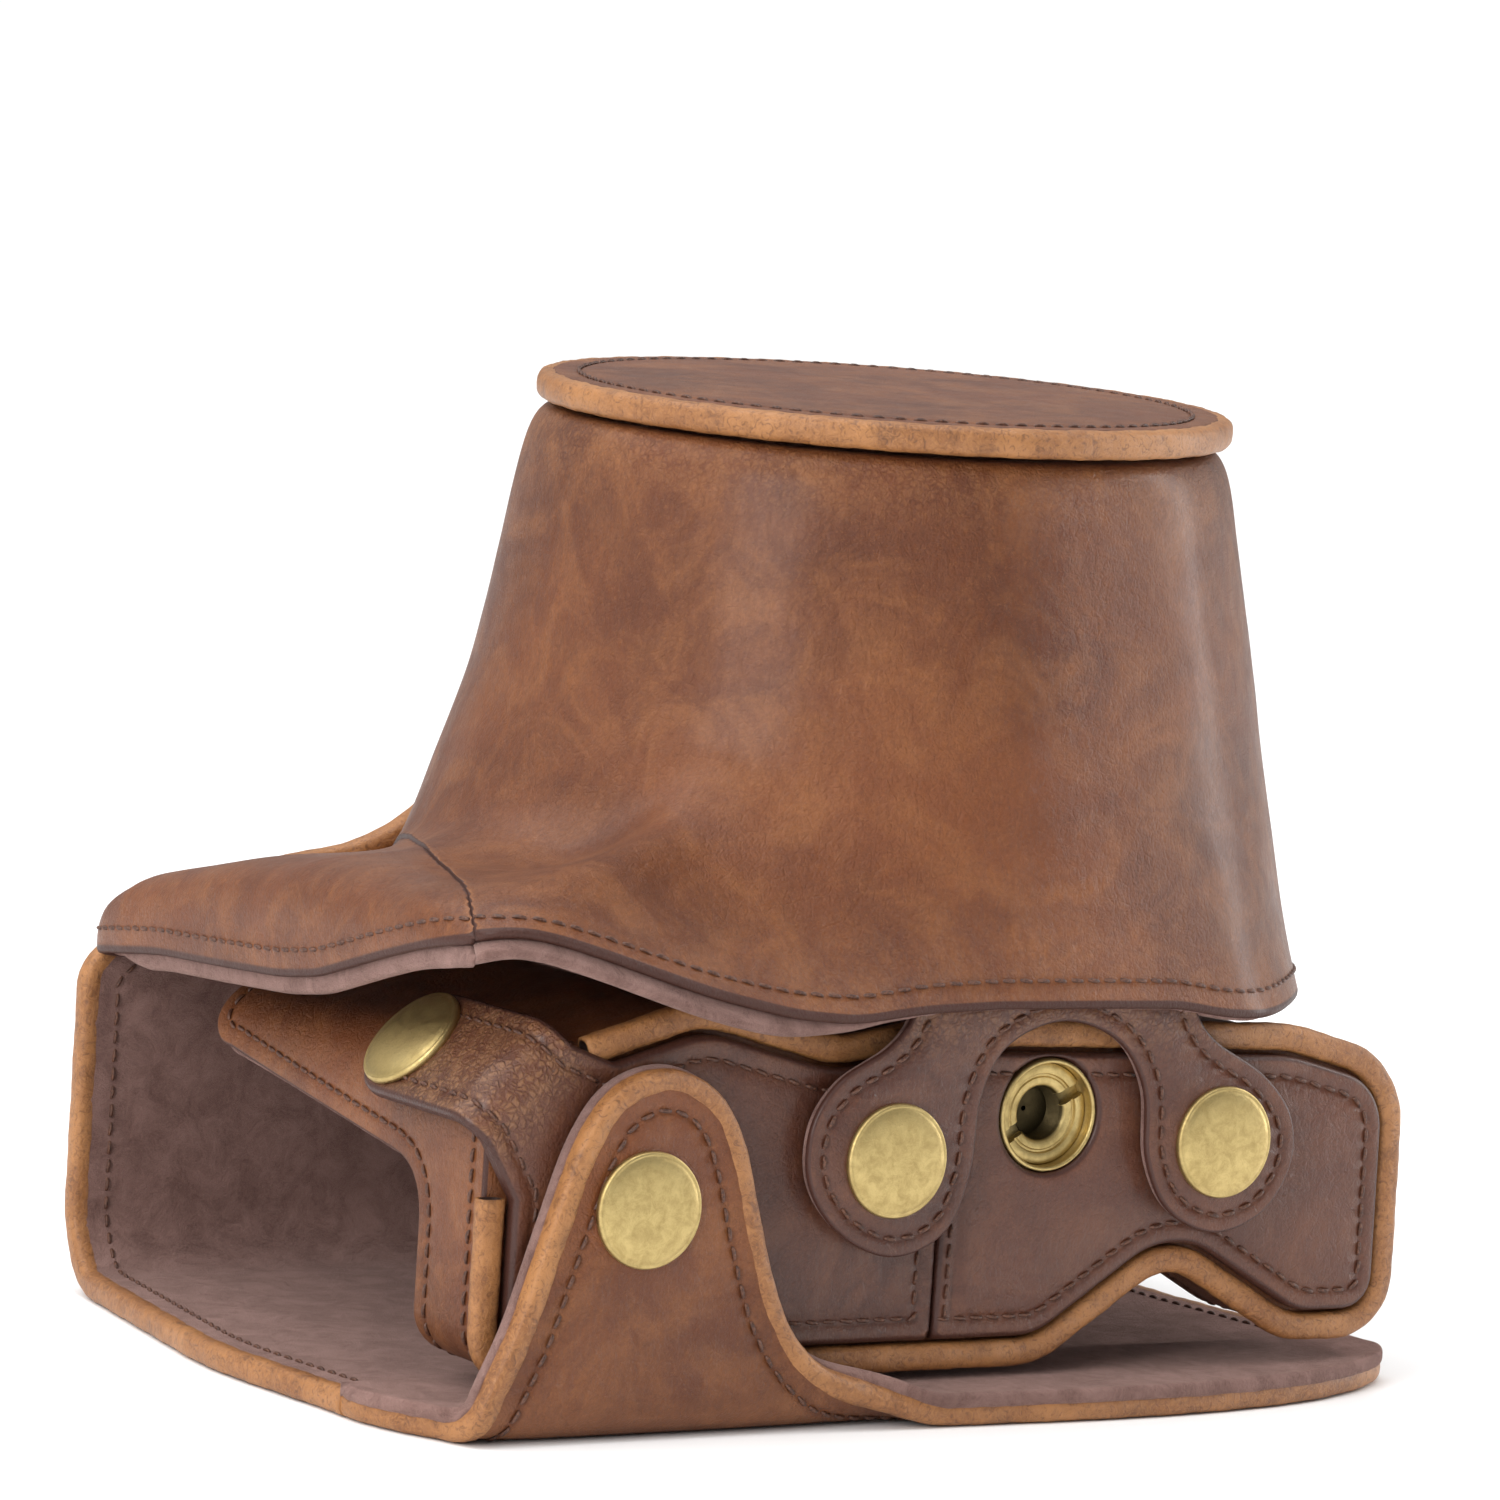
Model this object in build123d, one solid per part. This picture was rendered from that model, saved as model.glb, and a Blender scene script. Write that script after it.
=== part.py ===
"""Leather ever ready case: a half case that holds the camera, and a removable cover with a lens snout.

The case lies on its back. X runs along the width, Y from the bottom face up to the top of the
camera, and Z from the back panel up the lens snout. All sizes are in millimetres.
"""
from build123d import *
import math
import os

# ---- driving dimensions ------------------------------------------------------------------
LEATHER = 1.6                 # thickness of the leather
SUEDE = 1.0                   # thickness of the suede lining
GAP = 0.4                     # air between pieces of different moving bodies
BINDING = 3.0                 # width of a bound edge

# half case: (X, Z, corner radius) round its bottom outline, seen from below
CASE_OUTLINE = [
    (-57.5, 37.5, 10.0),      # front corner under the strap
    (-33.0, 44.8, 12.0),      # hand grip
    (-16.0, 40.2, 12.0),      # dip beside the grip
    (-4.0, 42.2, 20.0),
    (44.0, 41.0, 20.0),
    (58.9, 37.0, 9.0),
    (59.3, 7.6, 6.0),
    (46.0, 7.6, 9.0),         # foot of the rear notch
    (29.0, 17.3, 8.0),        # top of the rear notch
    (12.0, 6.2, 10.0),        # foot of the rear notch
    (-57.5, 6.2, 5.0),
]
BASE_BOTTOM = 0.0             # outer face of the base leather, along Y
FRONT_TOP = 66.0              # upper edge of the front panel, along Y
LOW_WALL_TOP = 14.0           # upper edge of the back and end walls, along Y
END_EDGE_LOW_Z = 26.0         # lower edge of the front panel's tip, at the low wall
END_EDGE_HIGH_Z = 33.0        # and at the top of the front panel
LENS_X, LENS_Y = 11.4, 42.2   # lens axis
LENS_CUT_R = 31.0             # opening round the lens barrel
WELT_OUT = -2.0               # outer face of the rolled welt, along Y
WELT_OVERHANG, WELT_INSET = 1.4, 2.2      # its reach outside and inside the case outline
WELT_ROUND = 0.9
BATTERY_OPENING = (-50.0, -8.0, 13.0, 32.0)   # X and Z limits of the opening under the flap
PLATE_IN, PLATE_OUT = -0.3, -2.6          # raised bottom plate, along Y
PLATE_INSET = 2.6             # plate edge inside the case outline
HINGE_X = -2.3                # stitched hinge line of the battery flap

# tripod screw: a slotted head with a threaded hole, a neck in the bush, and a stud for the camera
SCREW_X, SCREW_Z = 11.0, 32.8
SCREW_HEAD_R = 5.65
SCREW_NECK_R = 4.0
SCREW_STUD_R = 3.1            # quarter inch thread
SCREW_BORE_R = 2.75           # quarter inch thread, at its crest
BUSH_R = 6.3
SCREW_OUT = -1.4              # face of the head, along Y
SCREW_SEAT = 0.4              # underside of the head
SCREW_BORE_END = 2.2
NECK_END = 2.6
STUD_END = 7.0                # tip of the stud in the camera
RING_Y = (1.8, 2.3)           # retaining ring on the neck
RING_R, RING_GROOVE_R = 5.4, 3.5
RUNNING = 0.05

# snaps
CAP_R = 6.25
CAP_H = 1.3
SOCKET_R = 4.4
SOCKET_BORE_R = 2.2
STUD_R = 1.9
STUD_BASE_R = 3.2
STUD_H = 0.7

# two lobed front tab, outline in X and Z
LIP_Z = 44.4                  # its hinge line under the cover's lip
LOBE_IN, LOBE_OUT = -3.8, -5.6
LOBE_R = 10.2
LEFT_LOBE = (-10.6, 28.6)
RIGHT_LOBE = (32.2, 29.9)
ARCH_R = 10.2

# back tab
TAB_CAP = (-42.0, 24.6)
TAB_IN, TAB_OUT = -4.4, -7.4
TAB_TOP_R = 9.0
TAB_TOP_Z = 39.2

# strap over the corner
STRAP_W = 14.0
STRAP_T = 1.7
STRAP_LIFT = 1.3              # room for the stud under the strap
STRAP_END_Y = 18.0
STRAP_NORMAL = (-0.73, 0.0, 0.683)
STRAP_FOOT = (-54.8, 0.0, 36.9)           # corner of the front panel under the strap

# cover
COVER_LEFT, COVER_RIGHT = -63.0, 63.5
COVER_FRONT_Y, COVER_TOP_Y = -6.7, 91.6
SHELF_Z = 56.5
SHELF_ROUND, SHELF_CORNER = 10.0, 6.0
SHELF_END_X = -5.0            # where the flare runs out on the snout
SEAM_START = (-62.0, -6.7, 54.0)          # seam between the flare and the left shoulder
SEAM_SLOPE = 0.39             # its run along X for each step along Y
CONE_BASE_Z, CONE_TOP_Z = 44.0, 107.0
CONE_BASE_R, CONE_TOP_R = 49.3, 38.2
LID_R, LID_T, LID_TILT = 39.4, 3.2, 3.0
LIP_FRONT = [(-64.0, 54.4), (-50.0, 52.0), (-42.0, 49.6), (-25.0, 45.6), (12.0, 45.9),
             (27.0, 45.6), (40.0, 44.8), (70.0, 44.8)]
LIP_END = [(-8.0, 55.2), (8.0, 50.5), (17.0, 48.3), (30.0, 44.7), (53.0, 42.7), (95.0, 39.0)]
FOLD_R = 10.0                 # fold between the top panel and the back panel
FOLD_Y = COVER_TOP_Y - FOLD_R
PANEL_T = 3.2
TAB_FOLD_Y = TAB_IN + GAP

# back panel, outline in X and Y
PANEL_OUTLINE = [
    (-62.0, FOLD_Y - GAP, 1.0),
    (-61.5, TAB_FOLD_Y, 1.0),
    (-9.0, TAB_FOLD_Y, 6.0),
    (14.0, -9.6, 40.0),
    (44.0, -7.6, 40.0),
    (66.0, 1.5, 9.0),
    (65.0, 20.0, 20.0),
    (62.5, FOLD_Y - GAP, 1.0),
]
TAB_OUTLINE = [
    (-60.5, PANEL_T + 0.2, 1.0),
    (-54.0, 19.0, 20.0),
    (-48.5, TAB_TOP_Z + 1.0, TAB_TOP_R),
    (-32.5, TAB_TOP_Z - 0.8, TAB_TOP_R),
    (-25.0, 9.5, 12.0),
    (-12.0, PANEL_T + 0.2, 0.5),
]

NODES = {}


def keep(name, *solids):
    """Stores a node's solids under its name."""
    NODES[name] = list(solids)


def rounded(points):
    """Closed wire through corners given as (u, v, radius)."""
    corners = [(u, v) for u, v, _ in points]
    return FilletPolyline(*corners, radius=[r for _, _, r in points], close=True)


def plane_y(y):
    """Sketch plane that faces -Y at the given Y, with u along X and v along Z."""
    return Plane(origin=(0, y, 0), x_dir=(1, 0, 0), z_dir=(0, -1, 0))


def slab_y(face, y_from, y_to):
    """Extrudes a face drawn in X and Z between two heights along Y."""
    return extrude(plane_y(max(y_from, y_to)) * face, abs(y_to - y_from))


def disc_y(x, z, radius, y_from, y_to):
    """Round disc with its axis along Y."""
    return slab_y(Pos(x, z) * Circle(radius), y_from, y_to)


def block(x, y, z):
    """Box given by its (low, high) pairs."""
    size = (x[1] - x[0], y[1] - y[0], z[1] - z[0])
    return Pos(*(sum(pair) / 2 for pair in (x, y, z))) * Box(*size)


def case_face(inset=0.0):
    """Outline of the half case in X and Z, moved inwards."""
    face = make_face(rounded(CASE_OUTLINE))
    return offset(face, -inset) if inset else face


# ---- half case ---------------------------------------------------------------------------
def end_edge_cut():
    """Space above the low walls and below the slanted edge of the front panel."""
    profile = Polyline((LOW_WALL_TOP, -5), (LOW_WALL_TOP, END_EDGE_LOW_Z),
                       (FRONT_TOP + 1, END_EDGE_HIGH_Z), (FRONT_TOP + 1, -5), close=True)
    side = Plane(origin=(-80, 0, 0), x_dir=(0, 1, 0), z_dir=(1, 0, 0))
    return extrude(side * make_face(profile), 160)


def lens_cut():
    """U shaped opening for the lens barrel, open at the top."""
    barrel = Pos(LENS_X, LENS_Y, 38) * Cylinder(LENS_CUT_R, 40)
    above = block((LENS_X - LENS_CUT_R, LENS_X + LENS_CUT_R), (LENS_Y, 90), (18, 58))
    return barrel + above


def case_wall(inset, thickness, top):
    """Wall that follows the case outline, from the base up to a height along Y."""
    ring = case_face(inset) - case_face(inset + thickness)
    return slab_y(ring, BASE_BOTTOM + LEATHER, top)


def half_case():
    """Leather walls, base and linings of the half case."""
    split = END_EDGE_LOW_Z - 2
    front_half = block((-80, 80), (-20, 100), (split, 80))
    for name, inset, thick in (("", 0.0, LEATHER), ("_lining", LEATHER, SUEDE)):
        wall = case_wall(inset, thick, FRONT_TOP) - end_edge_cut() - lens_cut()
        keep("front_panel" + name, wall & front_half)
        keep("low_wall" + name, *(wall - front_half).solids())
    base = slab_y(case_face(0.0), BASE_BOTTOM, LEATHER)
    base_lining = slab_y(case_face(LEATHER + SUEDE), LEATHER, LEATHER + SUEDE)
    x_low, x_high, z_low, z_high = BATTERY_OPENING
    window = fillet(block((x_low, x_high), (-5, 5), (z_low, z_high)).edges().filter_by(Axis.Y), 3)
    hole = disc_y(SCREW_X, SCREW_Z, BUSH_R, -10, 10) + window
    keep("base_panel", base - hole)
    keep("base_lining", base_lining - hole)


def welt():
    """Rolled welt round the base, left open where the strap passes over the corner."""
    ring = slab_y(case_face(-WELT_OVERHANG) - case_face(WELT_INSET), WELT_OUT, BASE_BOTTOM)
    ring = fillet(ring.edges().group_by(Axis.Y)[0], WELT_ROUND)
    gap = Pos(-56.5, 0, 37.0) * Rot(0, 45, 0) * Box(24, 20, STRAP_W + 3)
    keep("base_welt", *(ring - gap).solids())


def plate_face():
    """Raised bottom plate, in X and Z."""
    return case_face(PLATE_INSET)


def base_plates():
    """Fixed right half of the bottom plate, with the hole for the tripod screw."""
    right = block((HINGE_X + 0.3, 80), (-20, 20), (-5, 80))
    hole = disc_y(SCREW_X, SCREW_Z, BUSH_R, -10, 10)
    keep("fixed_bottom_plate", slab_y(plate_face(), PLATE_IN, PLATE_OUT) & right - hole)


def tripod_screw():
    """Slotted tripod screw in its bush, with a retaining ring on the inner side."""
    at = lambda radius, y_from, y_to: disc_y(SCREW_X, SCREW_Z, radius, y_from, y_to)
    bush = at(BUSH_R - RUNNING, PLATE_OUT, LEATHER)
    seat = at(SCREW_HEAD_R + RUNNING, PLATE_OUT - 1, SCREW_SEAT)
    keep("screw_bush", bush - seat - at(SCREW_NECK_R + RUNNING, -10, 10))
    head = at(SCREW_HEAD_R, SCREW_OUT, SCREW_SEAT - RUNNING)
    neck = at(SCREW_NECK_R, SCREW_SEAT - RUNNING, NECK_END)
    stud = at(SCREW_STUD_R, NECK_END, STUD_END)
    groove = at(SCREW_NECK_R, *RING_Y) - at(RING_GROOVE_R, *RING_Y)
    bore = at(SCREW_BORE_R, -10, SCREW_BORE_END)
    slot = Pos(SCREW_X, SCREW_OUT, SCREW_Z) * Rot(0, -30, 0) * Box(20, 1.6, 1.5)
    keep("tripod_screw", head + neck + stud - groove - bore - slot)
    keep("screw_retaining_ring", at(RING_R, *RING_Y) - at(RING_GROOVE_R, *RING_Y))


# ---- snaps -------------------------------------------------------------------------------
def snap_cap():
    """Slightly domed cap, base at z = 0, facing +z."""
    cap = Cylinder(CAP_R, CAP_H, align=(Align.CENTER, Align.CENTER, Align.MIN))
    return fillet(cap.edges().group_by(Axis.Z)[-1], 0.9)


def snap_socket():
    """Socket ring let into the lining, its open face at z = 0, facing -z."""
    ring = Cylinder(SOCKET_R, 1.0, align=(Align.CENTER, Align.CENTER, Align.MIN))
    hole = Cylinder(SOCKET_BORE_R, 0.8, align=(Align.CENTER, Align.CENTER, Align.MIN))
    return ring - hole


def snap_stud():
    """Low stud on a round foot, base at z = 0, facing +z."""
    foot = Cylinder(STUD_BASE_R, 0.25, align=(Align.CENTER, Align.CENTER, Align.MIN))
    head = Cylinder(STUD_R, STUD_H, align=(Align.CENTER, Align.CENTER, Align.MIN))
    return foot + fillet(head.edges().group_by(Axis.Z)[-1], 0.25)


def facing_down(x, y, z):
    """Location on a face whose normal is -Y."""
    return Plane(origin=(x, y, z), x_dir=(1, 0, 0), z_dir=(0, -1, 0)).location


def recess(location):
    """Room for a socket ring in the piece that carries it."""
    return location * Cylinder(SOCKET_R, 1.0, align=(Align.CENTER, Align.CENTER, Align.MIN))


# ---- battery flap ------------------------------------------------------------------------
def strap_plane(lift):
    """Plane on the corner, u along Y, normal away from the corner."""
    foot, normal = Vector(*STRAP_FOOT), Vector(*STRAP_NORMAL).normalized()
    return Plane(origin=foot + normal * lift, x_dir=(0, 1, 0), z_dir=normal)


def battery_flap():
    """Left half of the bottom plate, and the strap that holds it shut over the corner."""
    left = block((-80, HINGE_X - 0.3), (-20, 20), (-5, 80))
    keep("battery_flap", slab_y(plate_face(), PLATE_IN, PLATE_OUT) & left)
    tongue = Pos(STRAP_END_Y / 2, 0) * Rectangle(STRAP_END_Y, STRAP_W)
    tongue += Pos(STRAP_END_Y, 0) * Circle(STRAP_W / 2)
    strap = extrude(strap_plane(STRAP_LIFT) * tongue, STRAP_T)
    at = strap_plane(STRAP_LIFT).location * Pos(STRAP_END_Y, 0, 0)
    keep("flap_strap", strap - recess(at))
    keep("strap_snap_socket", at * snap_socket())
    keep("strap_snap_cap", at * Pos(0, 0, STRAP_T) * snap_cap())
    keep("corner_stud", strap_plane(0.1).location * Pos(STRAP_END_Y, 0, 0) * snap_stud())
    keep("flap_stud_for_front_tab", facing_down(LEFT_LOBE[0], PLATE_OUT, LEFT_LOBE[1]) * snap_stud())
    keep("flap_stud_for_back_tab", facing_down(TAB_CAP[0], PLATE_OUT, TAB_CAP[1]) * snap_stud())
    keep("plate_stud", facing_down(RIGHT_LOBE[0], PLATE_OUT, RIGHT_LOBE[1]) * snap_stud())


# ---- front tab ---------------------------------------------------------------------------
def front_tab():
    """Two lobed tab with an arch over the tripod screw."""
    shape = Sketch()
    for x, z in (LEFT_LOBE, RIGHT_LOBE):
        root = math.copysign(LOBE_R, x - SCREW_X)
        neck = Polyline((x + root, z), (SCREW_X + root * 1.9, LIP_Z), (SCREW_X - root / 4, LIP_Z),
                        (x - root, z), close=True)
        shape += Pos(x, z) * Circle(LOBE_R) + make_face(neck)
    shape -= Pos(SCREW_X, SCREW_Z) * Circle(ARCH_R)
    shape -= Pos(SCREW_X, SCREW_Z - 15) * Rectangle(2 * ARCH_R, 30)
    shape -= Pos(0, LIP_Z + 10) * Rectangle(200, 20)
    plate = slab_y(shape, LOBE_IN, LOBE_OUT)
    for side, (x, z) in (("left", LEFT_LOBE), ("right", RIGHT_LOBE)):
        at = facing_down(x, LOBE_IN, z)
        plate -= recess(at)
        keep(side + "_lobe_snap_socket", at * snap_socket())
        keep(side + "_lobe_snap_cap", facing_down(x, LOBE_OUT, z) * snap_cap())
    middle = LOBE_IN - 0.8
    lining_half = block((-80, 80), (middle, 20), (-5, 80))
    keep("front_tab", plate - lining_half)
    keep("front_tab_lining", *(plate & lining_half).solids())


# ---- cover -------------------------------------------------------------------------------
def cone(grow):
    """Tapered snout, grown outwards."""
    height = CONE_TOP_Z - CONE_BASE_Z
    return Pos(LENS_X, LENS_Y, CONE_BASE_Z + height / 2) * Cone(CONE_BASE_R + grow,
                                                               CONE_TOP_R + grow, height)


def cone_core(grow):
    """Snout with a straight skirt below it, for trimming what meets it."""
    skirt = Pos(LENS_X, LENS_Y, CONE_BASE_Z - 12) * Cylinder(CONE_BASE_R + grow, 24)
    return cone(grow) + skirt


def rounded_shelf(x, y, grow):
    """Shoulder block between two X and two Y limits, rounded along its upper edge."""
    box = block((x[0] - grow, x[1] + grow), (y[0] - grow, y[1] + grow), (20, SHELF_Z + grow))
    box = fillet(box.edges().filter_by(Axis.Z), SHELF_CORNER + grow)
    return fillet(box.edges().group_by(Axis.Z)[-1], SHELF_ROUND + grow)


def left_shelf(grow):
    """Shoulder beside the grip, which runs on in front of the snout."""
    body = rounded_shelf((COVER_LEFT, LENS_X + 60), (COVER_FRONT_Y, COVER_TOP_Y), grow)
    return body & block((-90, SHELF_END_X), (-30, COVER_TOP_Y - 2.0), (0, 90))


def right_shelf(grow):
    """Small shoulder beside the snout."""
    body = rounded_shelf((LENS_X - 60, COVER_RIGHT), (COVER_FRONT_Y, COVER_TOP_Y), grow)
    return body & block((LENS_X + 30, 90), (LENS_Y, COVER_TOP_Y - 2.0), (0, 90))


def lip_cut():
    """Everything below the cover's lip, along its front and its two ends."""
    front = Polyline((-90, -20), *[(-90, LIP_FRONT[0][1])], *LIP_FRONT, (90, LIP_FRONT[-1][1]),
                     (90, -20), close=True)
    below_front = slab_y(make_face(front), -20, LENS_Y)
    end = Polyline((-30, -20), (-30, LIP_END[0][1]), *LIP_END, (120, LIP_END[-1][1]),
                   (120, -20), close=True)
    side = Plane(origin=(-90, 0, 0), x_dir=(0, 1, 0), z_dir=(1, 0, 0))
    below_end = extrude(side * make_face(end), 180)
    left_end = block((-90, COVER_LEFT + 14), (-30, 120), (-20, 90))
    right_side = block((LENS_X, 90), (LENS_Y - 40, 120), (-20, 90))
    rest = block((-90, 90), (LENS_Y - 1, 120), (-20, 42))
    return (below_front - left_end) + (below_end & left_end) + (below_end & right_side) + rest


def lid_location(z):
    """Tilted seat of the lid."""
    return Pos(LENS_X, LENS_Y, z) * Rot(LID_TILT, 0, 0)


def above_lid_seat(z):
    """Space over the tilted seat of the lid."""
    return lid_location(z) * Pos(0, 0, 20) * Box(200, 200, 40)


def cover_shells():
    """Snout, shoulders and their linings."""
    cut = lip_cut()
    top_cut = above_lid_seat(CONE_TOP_Z - 2.5)
    trim = block((-90, 90), (COVER_TOP_Y - 2.0, 120), (0, 60))
    hollow = left_shelf(-LEATHER - SUEDE) + right_shelf(-LEATHER - SUEDE)
    inner = -LEATHER - SUEDE
    keep("snout", (cone(0) - cone(-LEATHER) - hollow - cut - top_cut - trim).solids().sort_by(SortBy.VOLUME)[-1])
    lining = cone(-LEATHER) - cone(inner) - hollow - cut - top_cut - trim
    keep("snout_lining", lining.solids().sort_by(SortBy.VOLUME)[-1])
    outside = cone_core(0.02)
    seam = Plane(origin=SEAM_START, x_dir=(SEAM_SLOPE, 1, 0), z_dir=(1, -SEAM_SLOPE, 0))
    before_seam = seam.location * Pos(0, 0, 60) * Box(300, 300, 120)
    left = left_shelf(0) - left_shelf(-LEATHER) - outside - cut
    keep("snout_flare", left & before_seam)
    keep("left_shoulder", left - before_seam)
    keep("left_shoulder_lining", left_shelf(-LEATHER) - left_shelf(inner) - outside - cut)
    keep("right_shoulder", right_shelf(0) - right_shelf(-LEATHER) - outside - cut)
    keep("right_shoulder_lining", right_shelf(-LEATHER) - right_shelf(inner) - outside - cut)


def lid():
    """Round lid of the snout with its bound edge and lining."""
    seat = lid_location(CONE_TOP_Z - 2.5)
    up = (Align.CENTER, Align.CENTER, Align.MIN)
    edge = Cylinder(LID_R, LID_T, align=up) - Cylinder(LID_R - BINDING, LID_T, align=up)
    keep("lid_binding", seat * edge)
    keep("lid_lining", seat * Cylinder(LID_R - BINDING, SUEDE, align=up))
    keep("lid", seat * Pos(0, 0, SUEDE) * Cylinder(LID_R - BINDING, LID_T - SUEDE - 0.3, align=up))


def top_panel():
    """Panel over the top of the camera, with a tongue up the snout, and its fold to the back."""
    y_in, y_out = COVER_TOP_Y - LEATHER, COVER_TOP_Y
    left, right = -62.0, 62.5
    flat = Polyline((left, FOLD_R), (left, 40), (-55, 45), (-40, 50), (-24, 54), (46, 54), (58, 48),
                    (right, 42), (right, FOLD_R), close=True)
    flat_face = make_face(flat)
    fold = Pos(0, FOLD_Y, FOLD_R) * Rot(0, 90, 0) * (Cylinder(FOLD_R, 200) - Cylinder(FOLD_R - LEATHER, 200))
    fold &= block((left, right), (FOLD_Y, 120), (-1, FOLD_R))
    rim = flat_face - offset(flat_face, -BINDING)
    rim &= Pos(0, 40) * Rectangle(300, 50)
    centre_strip = Pos((left + right) / 2, 30) * Rectangle(70, 60)
    keep("top_panel_binding", *slab_y(rim - centre_strip, y_in, y_out + 0.3).solids())
    tongue_side = Polyline((-24, 48), (-24, 54), (-2, CONE_TOP_Z - 1), (25, CONE_TOP_Z - 1), (46, 54),
                           (46, 48), close=True)
    patch = (cone(1.3) - cone(0.0)) & slab_y(make_face(tongue_side), 60, 120)
    patch -= above_lid_seat(CONE_TOP_Z - 3)
    flat_part = slab_y(flat_face - (rim - centre_strip), y_in, y_out)
    keep("top_panel", (flat_part + fold + patch) - cone(0.0) - left_shelf(0.0) - right_shelf(0.0))
    lining = Pos(0, FOLD_Y, FOLD_R) * Rot(0, 90, 0) * (
        Cylinder(FOLD_R - LEATHER, 200) - Cylinder(FOLD_R - LEATHER - SUEDE, 200))
    lining &= block((left + 1, right - 1), (FOLD_Y, 120), (-1, FOLD_R))
    lining += block((left + 1, right - 1), (y_in - SUEDE, y_in), (FOLD_R, 40))
    keep("top_panel_lining", lining)


def bound_sheet(name, face, place, inner_up):
    """Panel with a bound edge: leather outside, suede inside, and the binding round both."""
    inner = offset(face, -BINDING)
    parts = ((name + "_binding", face - inner, 0.0, PANEL_T),
             (name, inner, 0.3, LEATHER),
             (name + "_lining", inner, LEATHER + 0.3, SUEDE))
    made = {}
    for node, shape, low, thick in parts:
        made[node] = extrude(place(low if inner_up else low) * shape, thick)
    return made


def back_panel():
    """Panel behind the camera, lying flat, with bound edges."""
    face = make_face(rounded(PANEL_OUTLINE))
    made = bound_sheet("back_panel", face, lambda z: Plane.XY.offset(z), True)
    for node, solid in made.items():
        keep(node, *solid.solids())


def back_tab():
    """Tab that folds up over the bottom face and snaps to the battery flap."""
    face = make_face(rounded(TAB_OUTLINE))
    outward = lambda low: Plane(origin=(0, TAB_OUT + low, 0), x_dir=(-1, 0, 0), z_dir=(0, 1, 0))
    mirrored = mirror(face, Plane.YZ)
    made = bound_sheet("back_tab", mirrored, outward, False)
    at = facing_down(TAB_CAP[0], TAB_OUT + LEATHER + SUEDE + 0.3, TAB_CAP[1])
    for node, solid in made.items():
        keep(node, *(solid - recess(at)).solids() if node == "back_tab_lining" else solid.solids())
    keep("back_tab_snap_socket", at * snap_socket())
    keep("back_tab_snap_cap", facing_down(TAB_CAP[0], TAB_OUT + 0.3, TAB_CAP[1]) * snap_cap())


half_case()
welt()
base_plates()
tripod_screw()
battery_flap()
front_tab()
cover_shells()
lid()
top_panel()
back_panel()
back_tab()

# The origin is the centre of the footprint, on the face that the case lies on.
footprint = Compound([solid for solids in NODES.values() for solid in solids]).bounding_box()
ORIGIN_X, ORIGIN_Y = footprint.center().X, footprint.center().Y
print("origin", round(ORIGIN_X, 3), round(ORIGIN_Y, 3))

os.makedirs("parts", exist_ok=True)
for node_name, solids in NODES.items():
    moved = [Pos(-ORIGIN_X, -ORIGIN_Y, 0) * solid for solid in solids]
    shape = moved[0] if len(moved) == 1 else Compound(children=moved)
    export_step(shape, "parts/" + node_name + ".step")
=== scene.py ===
"""Leather ever ready case, dressed for a studio picture.

Lengths are written in millimetres in the maker's frame, where X runs along the case, Y from the
bottom face to the top of the camera and Z up the snout. `row` turns them into the frame's metres.
"""
import logging
import math
from dataclasses import dataclass, field
from enum import Enum
from typing import Callable, Optional, Sequence

import bmesh
import bpy
import numpy as np
from mathutils import Matrix, Vector, noise
from mathutils.geometry import delaunay_2d_cdt


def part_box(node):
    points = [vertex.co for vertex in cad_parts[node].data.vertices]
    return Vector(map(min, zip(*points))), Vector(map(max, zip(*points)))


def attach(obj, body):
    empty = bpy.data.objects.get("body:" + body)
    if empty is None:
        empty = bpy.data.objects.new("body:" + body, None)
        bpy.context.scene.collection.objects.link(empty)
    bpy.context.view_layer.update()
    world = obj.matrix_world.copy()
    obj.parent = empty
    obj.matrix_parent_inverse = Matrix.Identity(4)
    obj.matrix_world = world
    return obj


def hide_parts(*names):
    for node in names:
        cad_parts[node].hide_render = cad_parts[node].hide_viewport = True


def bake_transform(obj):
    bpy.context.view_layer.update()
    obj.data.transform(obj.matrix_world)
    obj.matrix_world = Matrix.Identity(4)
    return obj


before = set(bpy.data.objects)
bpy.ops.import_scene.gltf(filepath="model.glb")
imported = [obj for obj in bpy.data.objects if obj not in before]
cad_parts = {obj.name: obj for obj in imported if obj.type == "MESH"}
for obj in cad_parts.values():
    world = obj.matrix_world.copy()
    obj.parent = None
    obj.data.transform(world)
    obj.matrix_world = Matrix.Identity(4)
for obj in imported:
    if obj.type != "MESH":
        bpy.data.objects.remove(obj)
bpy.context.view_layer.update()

LOG = logging.getLogger("case")
Point2 = tuple[float, float]
Point3 = tuple[float, float, float]
Corner = tuple[float, float, float]
Placement = Callable[[np.ndarray, np.ndarray, np.ndarray], np.ndarray]
MM = 0.001

# The tripod screw is the piece that fixes the maker's frame in the row frame.
SCREW_X, SCREW_Z = 11.0, 32.8
SCREW_MIDDLE_Y = 2.8
_low, _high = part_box("tripod_screw")
ORIGIN_X = SCREW_X - (_low[0] + _high[0]) / 2 / MM
ORIGIN_Y = SCREW_MIDDLE_Y - (_low[1] + _high[1]) / 2 / MM


class Slot(Enum):
    """Material slots of the record."""

    BROWN = "brown_leather"
    PLATE = "plate_leather"
    TAN = "tan_leather"
    SUEDE = "suede"
    BRASS = "antique_brass"
    THREAD = "waxed_thread"


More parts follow.
